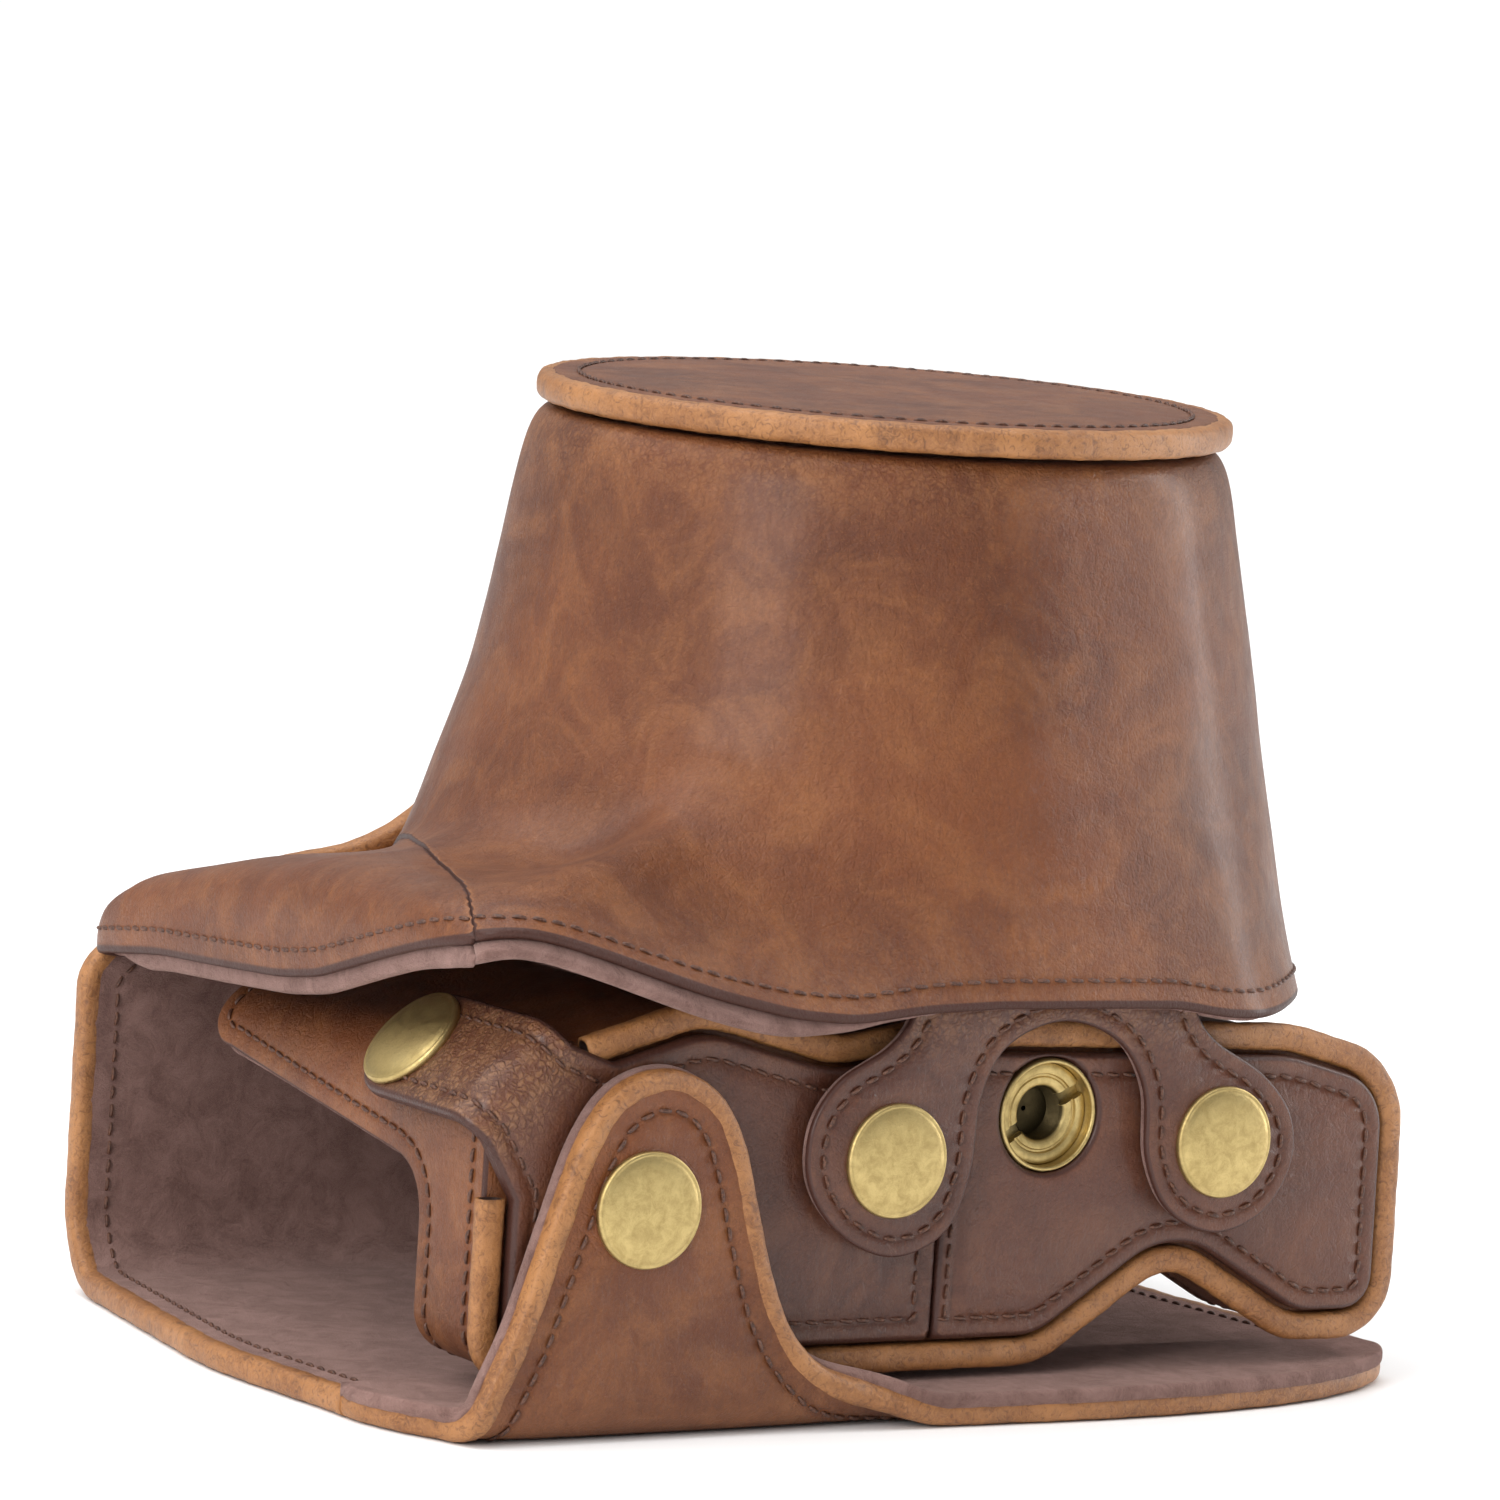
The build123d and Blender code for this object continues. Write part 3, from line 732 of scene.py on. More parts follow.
@dataclass(frozen=True)
class Leather:
    """Smooth waxed leather with fine creases, rubbed lighter where it is pulled.

    Attributes:
        name: name of the finish.
        deep, body, rubbed: its darker, usual and lighter colours.
        worn: colour where it is bent or handled most.
        edge: colour of its painted cut edges.
        gloss: roughness of the wax.
        coat: weight of the glossy coat.
        crease: depth of the creases in millimetres.
        grain: size of the grain in cells for each millimetre.
        rub: how strongly the lighter patches show.
    """

    name: str
    deep: Point3
    body: Point3
    rubbed: Point3
    worn: Point3
    edge: Point3
    gloss: float = 0.42
    coat: float = 0.15
    crease: float = 0.05
    grain: float = 1.5
    rub: float = 0.55

    def make(self) -> bpy.types.Material:
        """Builds the material."""
        g = NodeGraph(self.name)
        cloud = g.ramp(g.noise(0.028, 4.0, 0.6, twist=0.4), 0.32, 0.70)
        patch = g.ramp(g.noise(0.11, 6.0, 0.7, twist=0.8), 0.38, 0.72)
        speck = g.noise(2.3, 4.0, 0.7)
        creases = g.cells(0.55, warp=1.6)
        lines = g.ramp(creases, 0.0, 0.09)
        threads = g.noise(0.9, 7.0, 0.72, stretch=(1.0, 1.0, 0.55), twist=1.6)
        colour = g.mix(cloud, self.deep, self.body)
        colour = g.mix(g.math("MULTIPLY", patch, self.rub), colour, self.rubbed)
        streak = g.ramp(threads, 0.54, 0.66)
        colour = g.mix(g.math("MULTIPLY", streak, g.math("MULTIPLY", patch, 0.34)), colour, self.rubbed)
        colour = g.mix(g.math("MULTIPLY", g.ramp(speck, 0.35, 0.75), 0.25), colour, self.deep, "MULTIPLY")
        pointed = g.add("ShaderNodeNewGeometry").outputs["Pointiness"]
        colour = g.mix(g.math("MULTIPLY", g.ramp(pointed, 0.512, 0.56), 0.6), colour, self.rubbed)
        fine = g.ramp(g.noise(1.5, 6.0, 0.75, twist=2.2), 0.56, 0.63)
        colour = g.mix(g.math("MULTIPLY", fine, 0.30), colour, self.rubbed)
        worn = g.mark("worn")
        crackle = g.cells(1.35, warp=1.1)
        patchy = g.math("MULTIPLY", worn, g.ramp(g.math("ADD", crackle, g.noise(0.5, 4.0)), 0.45, 0.85))
        colour = g.mix(g.math("MULTIPLY", patchy, 0.62), colour, self.worn)
        pebble = g.math("MULTIPLY", worn, g.ramp(crackle, 0.0, 0.3))
        colour = g.mix(g.ramp(g.mark("cut_edge"), 0.25, 0.75), colour, self.edge)
        g.link(colour, g.shader.inputs["Base Color"])
        rough = g.math("ADD", g.math("MULTIPLY", g.noise(0.35, 5.0, 0.6), 0.26), self.gloss - 0.13)
        rough = g.math("ADD", rough, g.math("MULTIPLY", g.mark("cut_edge"), 0.22))
        g.link(rough, g.shader.inputs["Roughness"])
        g.shader.inputs["Coat Weight"].default_value = self.coat
        g.shader.inputs["Coat Roughness"].default_value = 0.25
        g.shader.inputs["Specular IOR Level"].default_value = 0.3
        grain = g.ramp(g.cells(self.grain, warp=0.35), 0.0, 0.28)
        g.bump([(pebble, 0.09), (lines, self.crease * 0.55), (threads, self.crease * 4.6),
                (grain, self.crease * 0.5), (speck, self.crease * 0.7), (g.noise(0.12, 3.0), 0.35)])
        return g.material


@dataclass(frozen=True)
class CrinkledLeather:
    """Tan leather of the rolled edges, crinkled, with painted shade in its crevices."""

    name: str
    deep: Point3
    body: Point3
    rubbed: Point3

    def make(self) -> bpy.types.Material:
        """Builds the material."""
        g = NodeGraph(self.name)
        crinkle = g.noise(1.0, 6.0, 0.72, twist=2.0)
        cloud = g.ramp(g.noise(0.09, 5.0, 0.65), 0.34, 0.68)
        colour = g.mix(cloud, self.body, self.rubbed)
        colour = g.mix(g.math("MULTIPLY", g.ramp(g.noise(0.35, 4.0), 0.5, 0.75), 0.5), colour, self.deep)
        colour = g.mix(g.math("MULTIPLY", g.ramp(crinkle, 0.50, 0.60), 0.6), colour, self.rubbed)
        # The crinkle valleys, lowest in the bump, are darkened towards the deep colour: painted shade in the
        # crevices.
        crevice_shade = g.math("SUBTRACT", 1.0, g.ramp(crinkle, 0.38, 0.47))
        colour = g.mix(g.math("MULTIPLY", crevice_shade, 0.6), colour, self.deep)
        # The rolls mark cut_edge only at their hollow ends, so this near-black is painted shade inside those
        # hollows.
        colour = g.mix(g.ramp(g.mark("cut_edge"), 0.5, 0.9), colour, (0.035, 0.014, 0.009))
        g.link(colour, g.shader.inputs["Base Color"])
        rough = g.math("ADD", g.math("MULTIPLY", g.noise(0.5, 3.0), 0.2), 0.38)
        g.link(rough, g.shader.inputs["Roughness"])
        g.shader.inputs["Coat Weight"].default_value = 0.12
        g.shader.inputs["Coat Roughness"].default_value = 0.3
        g.bump([(crinkle, 0.2), (g.noise(0.3, 3.0), 0.3)])
        return g.material


@dataclass(frozen=True)
class Suede:
    """Brushed suede of the linings."""

    name: str
    shade: Point3
    light: Point3

    def make(self) -> bpy.types.Material:
        """Builds the material."""
        g = NodeGraph(self.name)
        nap = g.noise(0.22, 6.0, 0.75, twist=0.6)
        fibre = g.noise(3.2, 4.0, 0.8, stretch=(1.0, 0.45, 1.0))
        colour = g.mix(g.ramp(nap, 0.34, 0.68), self.shade, self.light)
        colour = g.mix(g.math("MULTIPLY", g.ramp(fibre, 0.35, 0.75), 0.5), colour, self.light)
        g.link(colour, g.shader.inputs["Base Color"])
        g.shader.inputs["Roughness"].default_value = 0.95
        g.shader.inputs["Specular IOR Level"].default_value = 0.15
        g.shader.inputs["Sheen Weight"].default_value = 0.45
        g.shader.inputs["Sheen Roughness"].default_value = 0.5
        g.shader.inputs["Sheen Tint"].default_value = (0.75, 0.55, 0.5, 1.0)
        g.bump([(fibre, 0.32), (g.noise(9.0, 2.0), 0.12), (nap, 0.35)])
        return g.material


@dataclass(frozen=True)
class AgedBrass:
    """Mottled antique brass, brushed by use."""

    name: str
    dark: Point3
    bright: Point3
    gloss: float = 0.36

    def make(self) -> bpy.types.Material:
        """Builds the material."""
        g = NodeGraph(self.name)
        mottle = g.ramp(g.noise(0.6, 8.0, 0.75, twist=0.4), 0.25, 0.72)
        pits = g.ramp(g.noise(2.6, 5.0, 0.7), 0.5, 0.75)
        colour = g.mix(mottle, self.dark, self.bright)
        colour = g.mix(g.math("MULTIPLY", pits, 0.35), colour, self.dark)
        pointed = g.add("ShaderNodeNewGeometry").outputs["Pointiness"]
        colour = g.mix(g.math("MULTIPLY", g.ramp(pointed, 0.44, 0.49), -1.0), colour, self.bright)
        colour = g.mix(g.math("MULTIPLY", g.mark("cut_edge"), 0.93), colour, (0.035, 0.026, 0.014))
        g.link(colour, g.shader.inputs["Base Color"])
        g.shader.inputs["Metallic"].default_value = 1.0
        rough = g.math("ADD", g.math("MULTIPLY", g.math("SUBTRACT", 1.0, mottle), 0.2), self.gloss)
        g.link(rough, g.shader.inputs["Roughness"])
        g.bump([(g.noise(1.1, 6.0, 0.7), 0.03), (pits, 0.012)])
        return g.material


@dataclass(frozen=True)
class WaxedThread:
    """Twisted waxed thread."""

    name: str
    dark: Point3
    light: Point3

    def make(self) -> bpy.types.Material:
        """Builds the material."""
        g = NodeGraph(self.name)
        twist = g.noise(3.4, 3.0, 0.6, stretch=(1.0, 1.0, 1.0))
        g.link(g.mix(g.ramp(twist, 0.35, 0.7), self.dark, self.light), g.shader.inputs["Base Color"])
        g.shader.inputs["Roughness"].default_value = 0.52
        g.bump([(twist, 0.08)])
        return g.material


@dataclass(frozen=True)
class Finishes:
    """All finishes of the case, made once and handed to the sub-assemblies."""

    by_slot: dict[Slot, bpy.types.Material]

    @classmethod
    def make(cls) -> "Finishes":
        """Builds every material."""
        paint = (0.060, 0.020, 0.013)
        brown = Leather("waxed_brown_leather", (0.102, 0.028, 0.009), (0.184, 0.055, 0.017),
                        (0.310, 0.118, 0.038), (0.36, 0.155, 0.058), paint, gloss=0.40, coat=0.14, rub=0.5)
        plate = Leather("glossy_plate_leather", (0.062, 0.020, 0.012), (0.112, 0.037, 0.020),
                        (0.215, 0.084, 0.040), (0.30, 0.145, 0.068), paint, gloss=0.32, coat=0.3,
                        crease=0.035, rub=0.4)
        tan = CrinkledLeather("pebbled_tan_leather", (0.115, 0.040, 0.013), (0.275, 0.106, 0.030),
                              (0.43, 0.188, 0.060))
        suede = Suede("brushed_suede", (0.160, 0.083, 0.068), (0.320, 0.186, 0.158))
        brass = AgedBrass("aged_brass", (0.42, 0.31, 0.125), (0.60, 0.46, 0.20))
        thread = WaxedThread("waxed_dark_thread", (0.050, 0.018, 0.010), (0.150, 0.060, 0.032))
        return cls({Slot.BROWN: brown.make(), Slot.PLATE: plate.make(), Slot.TAN: tan.make(),
                    Slot.SUEDE: suede.make(), Slot.BRASS: brass.make(), Slot.THREAD: thread.make()})


@dataclass
class Assembly:
    """Base of the sub-assemblies: hands finishes, slots and bodies to the pieces."""

    finishes: Finishes

    def dress(self, obj: bpy.types.Object, slot: Slot, body: Optional[Body],
              nodes: Sequence[str] = ()) -> bpy.types.Object:
        """Gives a piece its finish, its body and the nodes that it stands for.

        Args:
            obj: the piece.
            slot: slot whose finish it takes.
            body: rigid body that it rides on, or None when it rides on none.
            nodes: nodes of the frame that it replaces.

        Returns:
            The same piece.
        """
        obj.data.materials.clear()
        obj.data.materials.append(self.finishes.by_slot[slot])
        if nodes:
            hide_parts(*nodes)
        if body is not None:
            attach(obj, body.value)
        LOG.info("%s: %d points, %s, %s", obj.name, len(obj.data.vertices), slot.value,
                 body.value if body else "blended")
        return obj


def on_panel(place: Placement, uv: np.ndarray, height: float) -> tuple[np.ndarray, np.ndarray]:
    """Points and outward normals over a bent pattern.

    Args:
        place: bends the pattern.
        uv: points of the pattern.
        height: height above its inner face.

    Returns:
        The points and the normals.
    """
    flat = np.full(len(uv), height)
    low, high = place(uv[:, 0], uv[:, 1], flat), place(uv[:, 0], uv[:, 1], flat + 0.1)
    normal = high - low
    return low, normal / np.linalg.norm(normal, axis=1, keepdims=True)


def longest_run(loop: np.ndarray, keep: np.ndarray) -> np.ndarray:
    """Longest run of kept points round a loop.

    Args:
        loop: the closed outline.
        keep: which of its points may be in the run.

    Returns:
        The points of the run, in order.
    """
    count = len(loop)
    best: tuple[int, int] = (0, 0)
    start = None
    for i in range(2 * count):
        if keep[i % count]:
            start = i if start is None else start
            if i - start + 1 > best[1] and i - start + 1 <= count:
                best = (start, i - start + 1)
        else:
            start = None
    return loop[[k % count for k in range(best[0], best[0] + best[1])]]


def smooth_curve(points: Sequence[Point2], per_span: int) -> np.ndarray:
    """Catmull-Rom curve through points.

    Args:
        points: the points it passes through.
        per_span: new points from one to the next.

    Returns:
        The points of the curve.
    """
    p = np.array(points, float)
    p = np.vstack([2 * p[0] - p[1], p, 2 * p[-1] - p[-2]])
    out = []
    for i in range(1, len(p) - 2):
        a, b, c, d = p[i - 1:i + 3]
        for t in np.linspace(0, 1, per_span, endpoint=False):
            out.append(0.5 * (2 * b + (c - a) * t + (2 * a - 5 * b + 4 * c - d) * t * t
                              + (3 * b - a - 3 * c + d) * t**3))
    return np.array([*out, p[-2]])


def raised(place: Placement, height: float) -> Placement:
    """The same bent pattern, laid a height above."""
    def place_raised(u: np.ndarray, v: np.ndarray, h: np.ndarray) -> np.ndarray:
        """Maps pattern arrays to points."""
        return place(u, v, h + height)
    return place_raised


def smoothstep(value: np.ndarray, low: float, high: float) -> np.ndarray:
    """Smooth ramp from 0 at low to 1 at high."""
    t = np.clip((value - low) / (high - low), 0, 1)
    return t * t * (3 - 2 * t)


def circle(radius: float, count: int, centre: Point2 = (0.0, 0.0)) -> np.ndarray:
    """Round outline with a number of points."""
    angles = np.linspace(0, 2 * math.pi, count, endpoint=False)
    return np.stack([centre[0] + radius * np.cos(angles), centre[1] + radius * np.sin(angles)], axis=1)


def xz_plane(base_y: float) -> Placement:
    """Pattern laid in X and Z on the bottom face, its height towards -Y."""
    def place(u: np.ndarray, v: np.ndarray, h: np.ndarray) -> np.ndarray:
        """Maps pattern arrays to points."""
        return np.stack([u, base_y - h, v], axis=1)
    return place


# ---- half case -----------------------------------------------------------------------------
CASE_OUTLINE: list[Corner] = [
    (-57.5, 37.5, 10.0), (-33.0, 44.8, 12.0), (-16.0, 40.2, 12.0), (-4.0, 42.2, 20.0), (44.0, 41.0, 20.0),
    (58.9, 37.0, 9.0), (59.3, 7.6, 6.0), (46.0, 7.6, 9.0), (29.0, 17.3, 8.0), (12.0, 6.2, 10.0),
    (-57.5, 6.2, 5.0)]
LENS_X, LENS_Y = 11.4, 42.2


@dataclass
class HalfCase(Assembly):
    """Leather walls, base, welt and linings that hold the camera."""

    leather: float = 1.6
    lining: float = 1.0
    panel_top: float = 66.0
    wall_top: float = 14.0
    tip_low_z: float = 26.0
    tip_high_z: float = 33.0
    lens_cut: float = 31.0
    seam: Point2 = (59.3, 25.0)
    crook: float = 6.0
    tip: float = 5.0
    shoulder: float = 6.0
    seam_gap: float = 0.4
    wall_foot: float = 0.4
    foot_row: float = 3.1
    stitch_inset: float = 2.4
    screw_hole: float = 6.3
    welt_width: float = 3.1
    welt_height: float = 2.3
    corner: Point2 = (-56.5, 37.0)
    corner_gap: float = 17.0

    def __post_init__(self) -> None:
        """Measures the case outline once."""
        self.outline = rounded_loop(CASE_OUTLINE, 0.9)

    def unrolled(self, start: Point2) -> tuple[np.ndarray, np.ndarray, np.ndarray]:
        """Outline opened at one point.

        Args:
            start: where it is opened, in X and Z.

        Returns:
            Arc lengths, points and outward normals, with the first point repeated at the end.
        """
        first = int(np.argmin(np.linalg.norm(self.outline - np.array(start), axis=1)))
        path = np.roll(self.outline, -first, axis=0)
        path = np.vstack([path, path[:1]])
        tangent = np.gradient(path, axis=0)
        tangent /= np.linalg.norm(tangent, axis=1, keepdims=True)
        arc = np.concatenate([[0], np.cumsum(np.linalg.norm(np.diff(path, axis=0), axis=1))])
        return arc, path, np.stack([-tangent[:, 1], tangent[:, 0]], axis=1)

    def wall_place(self, inset: float) -> Placement:
        """Pattern wrapped round the outline, with u along it from the seam and v along Y.

        Args:
            inset: how far inside the outline the height starts.

        Returns:
            The placement.
        """
        arc, path, normal = self.unrolled(self.seam)

        def place(u: np.ndarray, v: np.ndarray, h: np.ndarray) -> np.ndarray:
            """Maps pattern arrays to points."""
            out = h - inset
            x = np.interp(u, arc, path[:, 0]) + np.interp(u, arc, normal[:, 0]) * out
            z = np.interp(u, arc, path[:, 1]) + np.interp(u, arc, normal[:, 1]) * out
            return np.stack([x, v, z], axis=1)
        return place

    def tip_edge(self, heights: np.ndarray, zs: np.ndarray, arcs: np.ndarray) -> np.ndarray:
        """Arc lengths of a slanted end of the front panel.

        Args:
            heights: heights up the panel, along Y.
            zs, arcs: matching Z and arc length along that end of the outline.

        Returns:
            One arc length for each height.
        """
        share = (heights - self.wall_top) / (self.panel_top - self.wall_top)
        return np.interp(self.tip_low_z + share * (self.tip_high_z - self.tip_low_z), zs, arcs)

    def wall_pattern(self, shrink: float, beyond: float = 0.0) -> np.ndarray:
        """Loop of the front panel and low wall in arc length and Y, cut open at the right end.

        Args:
            shrink: how far the edges stand back.
            beyond: how far the left tip's lower edge stands past the rest.

        Returns:
            The closed loop.
        """
        arc, path, _ = self.unrolled(self.seam)
        ends = (path[:, 1] > 12) & (path[:, 1] < 36)
        up = ends & (path[:, 0] < -40)
        down = ends & (path[:, 0] > 50) & (arc > arc[-1] / 2)
        front = path[:, 1] > 36
        top = self.panel_top - shrink
        rise = np.arange(self.wall_top + self.crook, top - self.tip, 2.0)
        left = self.tip_edge(rise, path[up][:, 1], arc[up]) + shrink - beyond
        foot = float(self.tip_edge(np.array([self.wall_top]), path[up][:, 1], arc[up])[0]) + shrink - beyond
        rim = self.wall_top - shrink
        t = np.linspace(0, 1, 10)[:, None]
        bend = np.array([foot, rim])
        crook = ((1 - t) ** 2 * np.array([foot - self.crook, rim]) + 2 * t * (1 - t) * bend
                 + t ** 2 * np.array([left[0], rise[0]]))
        fall = np.arange(self.wall_top, top - self.tip, 2.0)
        right = self.tip_edge(fall, path[down][::-1][:, 1], arc[down][::-1]) - shrink
        cut = self.lens_cut + shrink
        angles = np.linspace(0, math.pi, 40)
        xs = LENS_X - cut * np.cos(angles)
        along = np.interp(xs, path[front][:, 0], arc[front])
        bottom = np.stack([along, LENS_Y - cut * np.sin(angles)], axis=1)
        turn = np.linspace(0, math.pi / 2, 8)
        early, late = 1 - np.sin(turn), 1 - np.cos(turn)
        into = np.stack([along[0] - self.shoulder * early, top - self.shoulder * late], axis=1)
        out = np.stack([along[-1] + self.shoulder * late, top - self.shoulder * early], axis=1)
        left_turn = np.stack([left[-1] + self.tip * late, top - self.tip * early], axis=1)
        right_turn = np.stack([right[-1] - self.tip * early, top - self.tip * late], axis=1)
        near = self.seam_gap / 2 + shrink
        loop = np.vstack([[[near, self.wall_foot], [near, rim]], crook,
                          np.stack([left, rise], axis=1), left_turn, into,
                          bottom, out, right_turn, np.stack([right, fall], axis=1)[::-1],
                          [[arc[-1] - near, self.wall_foot]]])
        return resample(loop, 1.0, closed=True)

    def build_walls(self) -> None:
        """Front panel and low wall in one piece of leather, with their suede."""
        outer = self.wall_pattern(0.0)
        place = self.wall_place(self.leather)
        panel = CutPanel("front_panel_and_low_wall_leather", [outer], self.leather, place, 0.45, 1.8,
                         self.stitch_inset, 0.1)
        self.dress(panel.build(), Slot.BROWN, Body.HALF_CASE, ["front_panel", "low_wall"])
        lining = CutPanel("front_panel_and_low_wall_suede", [self.wall_pattern(0.5, 1.4)], self.lining,
                          self.wall_place(self.leather + self.lining), 0.3, 2.4, fuzz=0.05)
        self.dress(lining.build(), Slot.SUEDE, Body.HALF_CASE, ["front_panel_lining", "low_wall_lining"])
        stitches = Stitching("front_panel_stitches")
        ring = inset_loop(outer, self.stitch_inset)
        height = self.leather - 0.15
        path, normal = on_panel(place, longest_run(ring, ring[:, 1] > 5.0), height)
        stitches.add(path, normal)
        foot = np.array([[outer[:, 0].min() + 3, self.foot_row], [outer[:, 0].max() - 3, self.foot_row]])
        path, normal = on_panel(place, resample(foot, 1.0), height)
        stitches.add(path, normal)
        self.dress(stitches.build(), Slot.THREAD, Body.HALF_CASE)

    def build_base(self) -> None:
        """Base leather and its lining, with the openings for the screw and the battery door."""
        hole = circle(self.screw_hole, 48, (SCREW_X, SCREW_Z))
        window = rounded_loop([(-50, 13, 3), (-8, 13, 3), (-8, 32, 3), (-50, 32, 3)], 1.5)
        for name, inset, low, thick, slot, node in (
                ("base_leather", 0.05, -self.leather, self.leather, Slot.BROWN, "base_panel"),
                ("base_suede", 2.7, -self.leather - self.lining, self.lining, Slot.SUEDE, "base_lining")):
            loop = resample(inset_loop(self.outline, inset), 1.2, closed=True)
            panel = CutPanel(name, [loop, window, hole], thick, xz_plane(-low), 0.35, 3.0)
            self.dress(panel.build(), slot, Body.HALF_CASE, [node])

    def build_welt(self) -> None:
        """Rolled tan welt round the base, open under the strap."""
        loop = resample(inset_loop(self.outline, 0.2), 0.8, closed=True)
        offset = loop - np.array(self.corner)
        across = offset @ np.array([0.7071, 0.7071])
        along = offset @ np.array([-0.7071, 0.7071])
        keep = ~((np.abs(across) < self.corner_gap / 2) & (np.abs(along) < 12))
        path = longest_run(loop, keep)
        centre = np.stack([path[:, 0], np.full(len(path), -0.85), path[:, 1]], axis=1)
        up = np.tile([0.0, -1.0, 0.0], (len(path), 1))
        # Its cut ends are hollow, with painted shade inside them.
        welt = roll("base_welt_roll", centre, up, self.welt_width, self.welt_height, shaded_end_hollows=True)
        self.dress(welt, Slot.TAN, Body.HALF_CASE, ["base_welt"])

    def build(self) -> None:
        """Builds the half case."""
        self.build_walls()
        self.build_base()
        self.build_welt()


@dataclass
class BottomPlates(Assembly):
    """Raised bottom plate: fixed half, battery flap and the strap over the corner."""

    inset: float = 2.2
    base_y: float = -0.3
    thickness: float = 2.3
    hinge_x: float = -2.3
    screw_hole: float = 6.35
    clear_of_screw: float = 7.2
    stitch_inset: float = 2.3
    foot: Point3 = (-54.8, 0.0, 36.9)
    strap_normal: Point2 = (-0.73, 0.683)
    strap_width: float = 14.0
    strap_leather: float = 1.7
    bend_start: float = -1.0
    bend_radius: float = 4.0
    strap_straight: float = 16.6

    def plate_loop(self) -> np.ndarray:
        """Outline of the whole plate."""
        return resample(inset_loop(rounded_loop(CASE_OUTLINE, 0.8), self.inset), 1.0, closed=True)

    def clipped(self, loop: np.ndarray, keep: np.ndarray, x: float) -> np.ndarray:
        """Part of the outline on one side of the hinge, closed by a straight edge."""
        run = longest_run(loop, keep)
        ends = [[x, run[-1, 1]], [x, run[0, 1]]]
        return resample(np.vstack([run, ends]), 1.0, closed=True)

    def build_fixed(self) -> None:
        """Fixed half of the plate."""
        loop = self.plate_loop()
        right = self.clipped(loop, loop[:, 0] > self.hinge_x + 0.6, self.hinge_x + 0.15)
        hole = circle(self.screw_hole, 56, (SCREW_X, SCREW_Z))
        place = xz_plane(self.base_y)
        panel = CutPanel("fixed_plate_leather", [right, hole], self.thickness, place, 0.75, 1.2,
                         self.stitch_inset, 0.32)
        self.dress(panel.build(), Slot.PLATE, Body.HALF_CASE, ["fixed_bottom_plate"])
        ring = inset_loop(loop, self.stitch_inset)
        from_screw = np.linalg.norm(ring - np.array([SCREW_X, SCREW_Z]), axis=1)
        stitches = Stitching("fixed_plate_stitches")
        sewn = (ring[:, 0] > self.hinge_x + 1.0) & (from_screw > self.clear_of_screw)
        near = (ring[:, 0] < SCREW_X) & (ring[:, 1] > SCREW_Z)
        for keep in (sewn & ~near, sewn & near):
            stitches.add(*on_panel(place, longest_run(ring, keep), self.thickness - 0.12))
        upright = resample(np.array([[self.hinge_x + 1.3, 11.5], [self.hinge_x + 1.5, 27.0]]), 1.0)
        stitches.add(*on_panel(place, upright, self.thickness + 0.1))
        self.dress(stitches.build(), Slot.THREAD, Body.HALF_CASE)

    def strap_axes(self, u: np.ndarray, v: np.ndarray) -> tuple[np.ndarray, np.ndarray]:
        """Distance along the strap from its foot, and across it."""
        nx, nz = self.strap_normal
        dx, dz = u - self.foot[0], v - self.foot[2]
        return dx * nx + dz * nz, dx * nz - dz * nx

    def place_flap(self, u: np.ndarray, v: np.ndarray, h: np.ndarray) -> np.ndarray:
        """Pattern in X and Z whose tail folds round the corner of the case.

        Args:
            u, v, h: X and Z on the flat pattern, and the height above its inner face.

        Returns:
            The points.
        """
        along, across = self.strap_axes(u, v)
        nx, nz = self.strap_normal
        past = np.maximum(along - self.bend_start, 0)
        thin = 1 - (1 - self.strap_leather / self.thickness) * np.clip(past / 5.0, 0, 1)
        depth = (self.thickness - h) * thin
        radius = self.bend_radius - depth
        angle = np.minimum(past / self.bend_radius, math.pi / 2)
        beyond = np.maximum(past - self.bend_radius * math.pi / 2, 0)
        centre_y = self.base_y - self.thickness + self.bend_radius
        n = np.minimum(along, self.bend_start) + radius * np.sin(angle)
        y = centre_y - radius * np.cos(angle) + beyond
        x = self.foot[0] + n * nx + across * nz
        z = self.foot[2] + n * nz - across * nx
        return np.stack([x, y, z], axis=1)

    def flap_loop(self) -> np.ndarray:
        """Outline of the flap and its strap, laid flat."""
        loop = self.plate_loop()
        left = self.clipped(loop, loop[:, 0] < self.hinge_x - 0.6, self.hinge_x - 0.1)
        nx, nz = self.strap_normal
        along, across = self.strap_axes(left[:, 0], left[:, 1])
        half = self.strap_width / 2
        under = (np.abs(across) < half + 1.6) & (along > -12)
        run = longest_run(left, ~under)
        end = self.bend_start + self.bend_radius * math.pi / 2 + self.strap_straight
        turn = np.linspace(0, math.pi, 24)
        sign = 1.0 if self.strap_axes(run[-1:, 0], run[-1:, 1])[1][0] > 0 else -1.0
        side = sign * half
        tip = [(end + half * math.sin(a), side * math.cos(a)) for a in turn]
        tail = [(-1.0, side), *tip, (-1.0, -side)]
        points = [(self.foot[0] + a * nx + c * nz, self.foot[2] + a * nz - c * nx) for a, c in tail]
        return resample(np.vstack([run, points]), 0.9, closed=True)

    def strap_wear(self, u: np.ndarray, v: np.ndarray) -> np.ndarray:
        """Rubbed leather where the strap bends over the corner."""
        along, across = self.strap_axes(u, v)
        beside = 1 - smoothstep(np.abs(across), 6.0, 11.0)
        return smoothstep(along, -7.0, 0.0) * (1 - 0.8 * smoothstep(along, 13.0, 22.0)) * beside

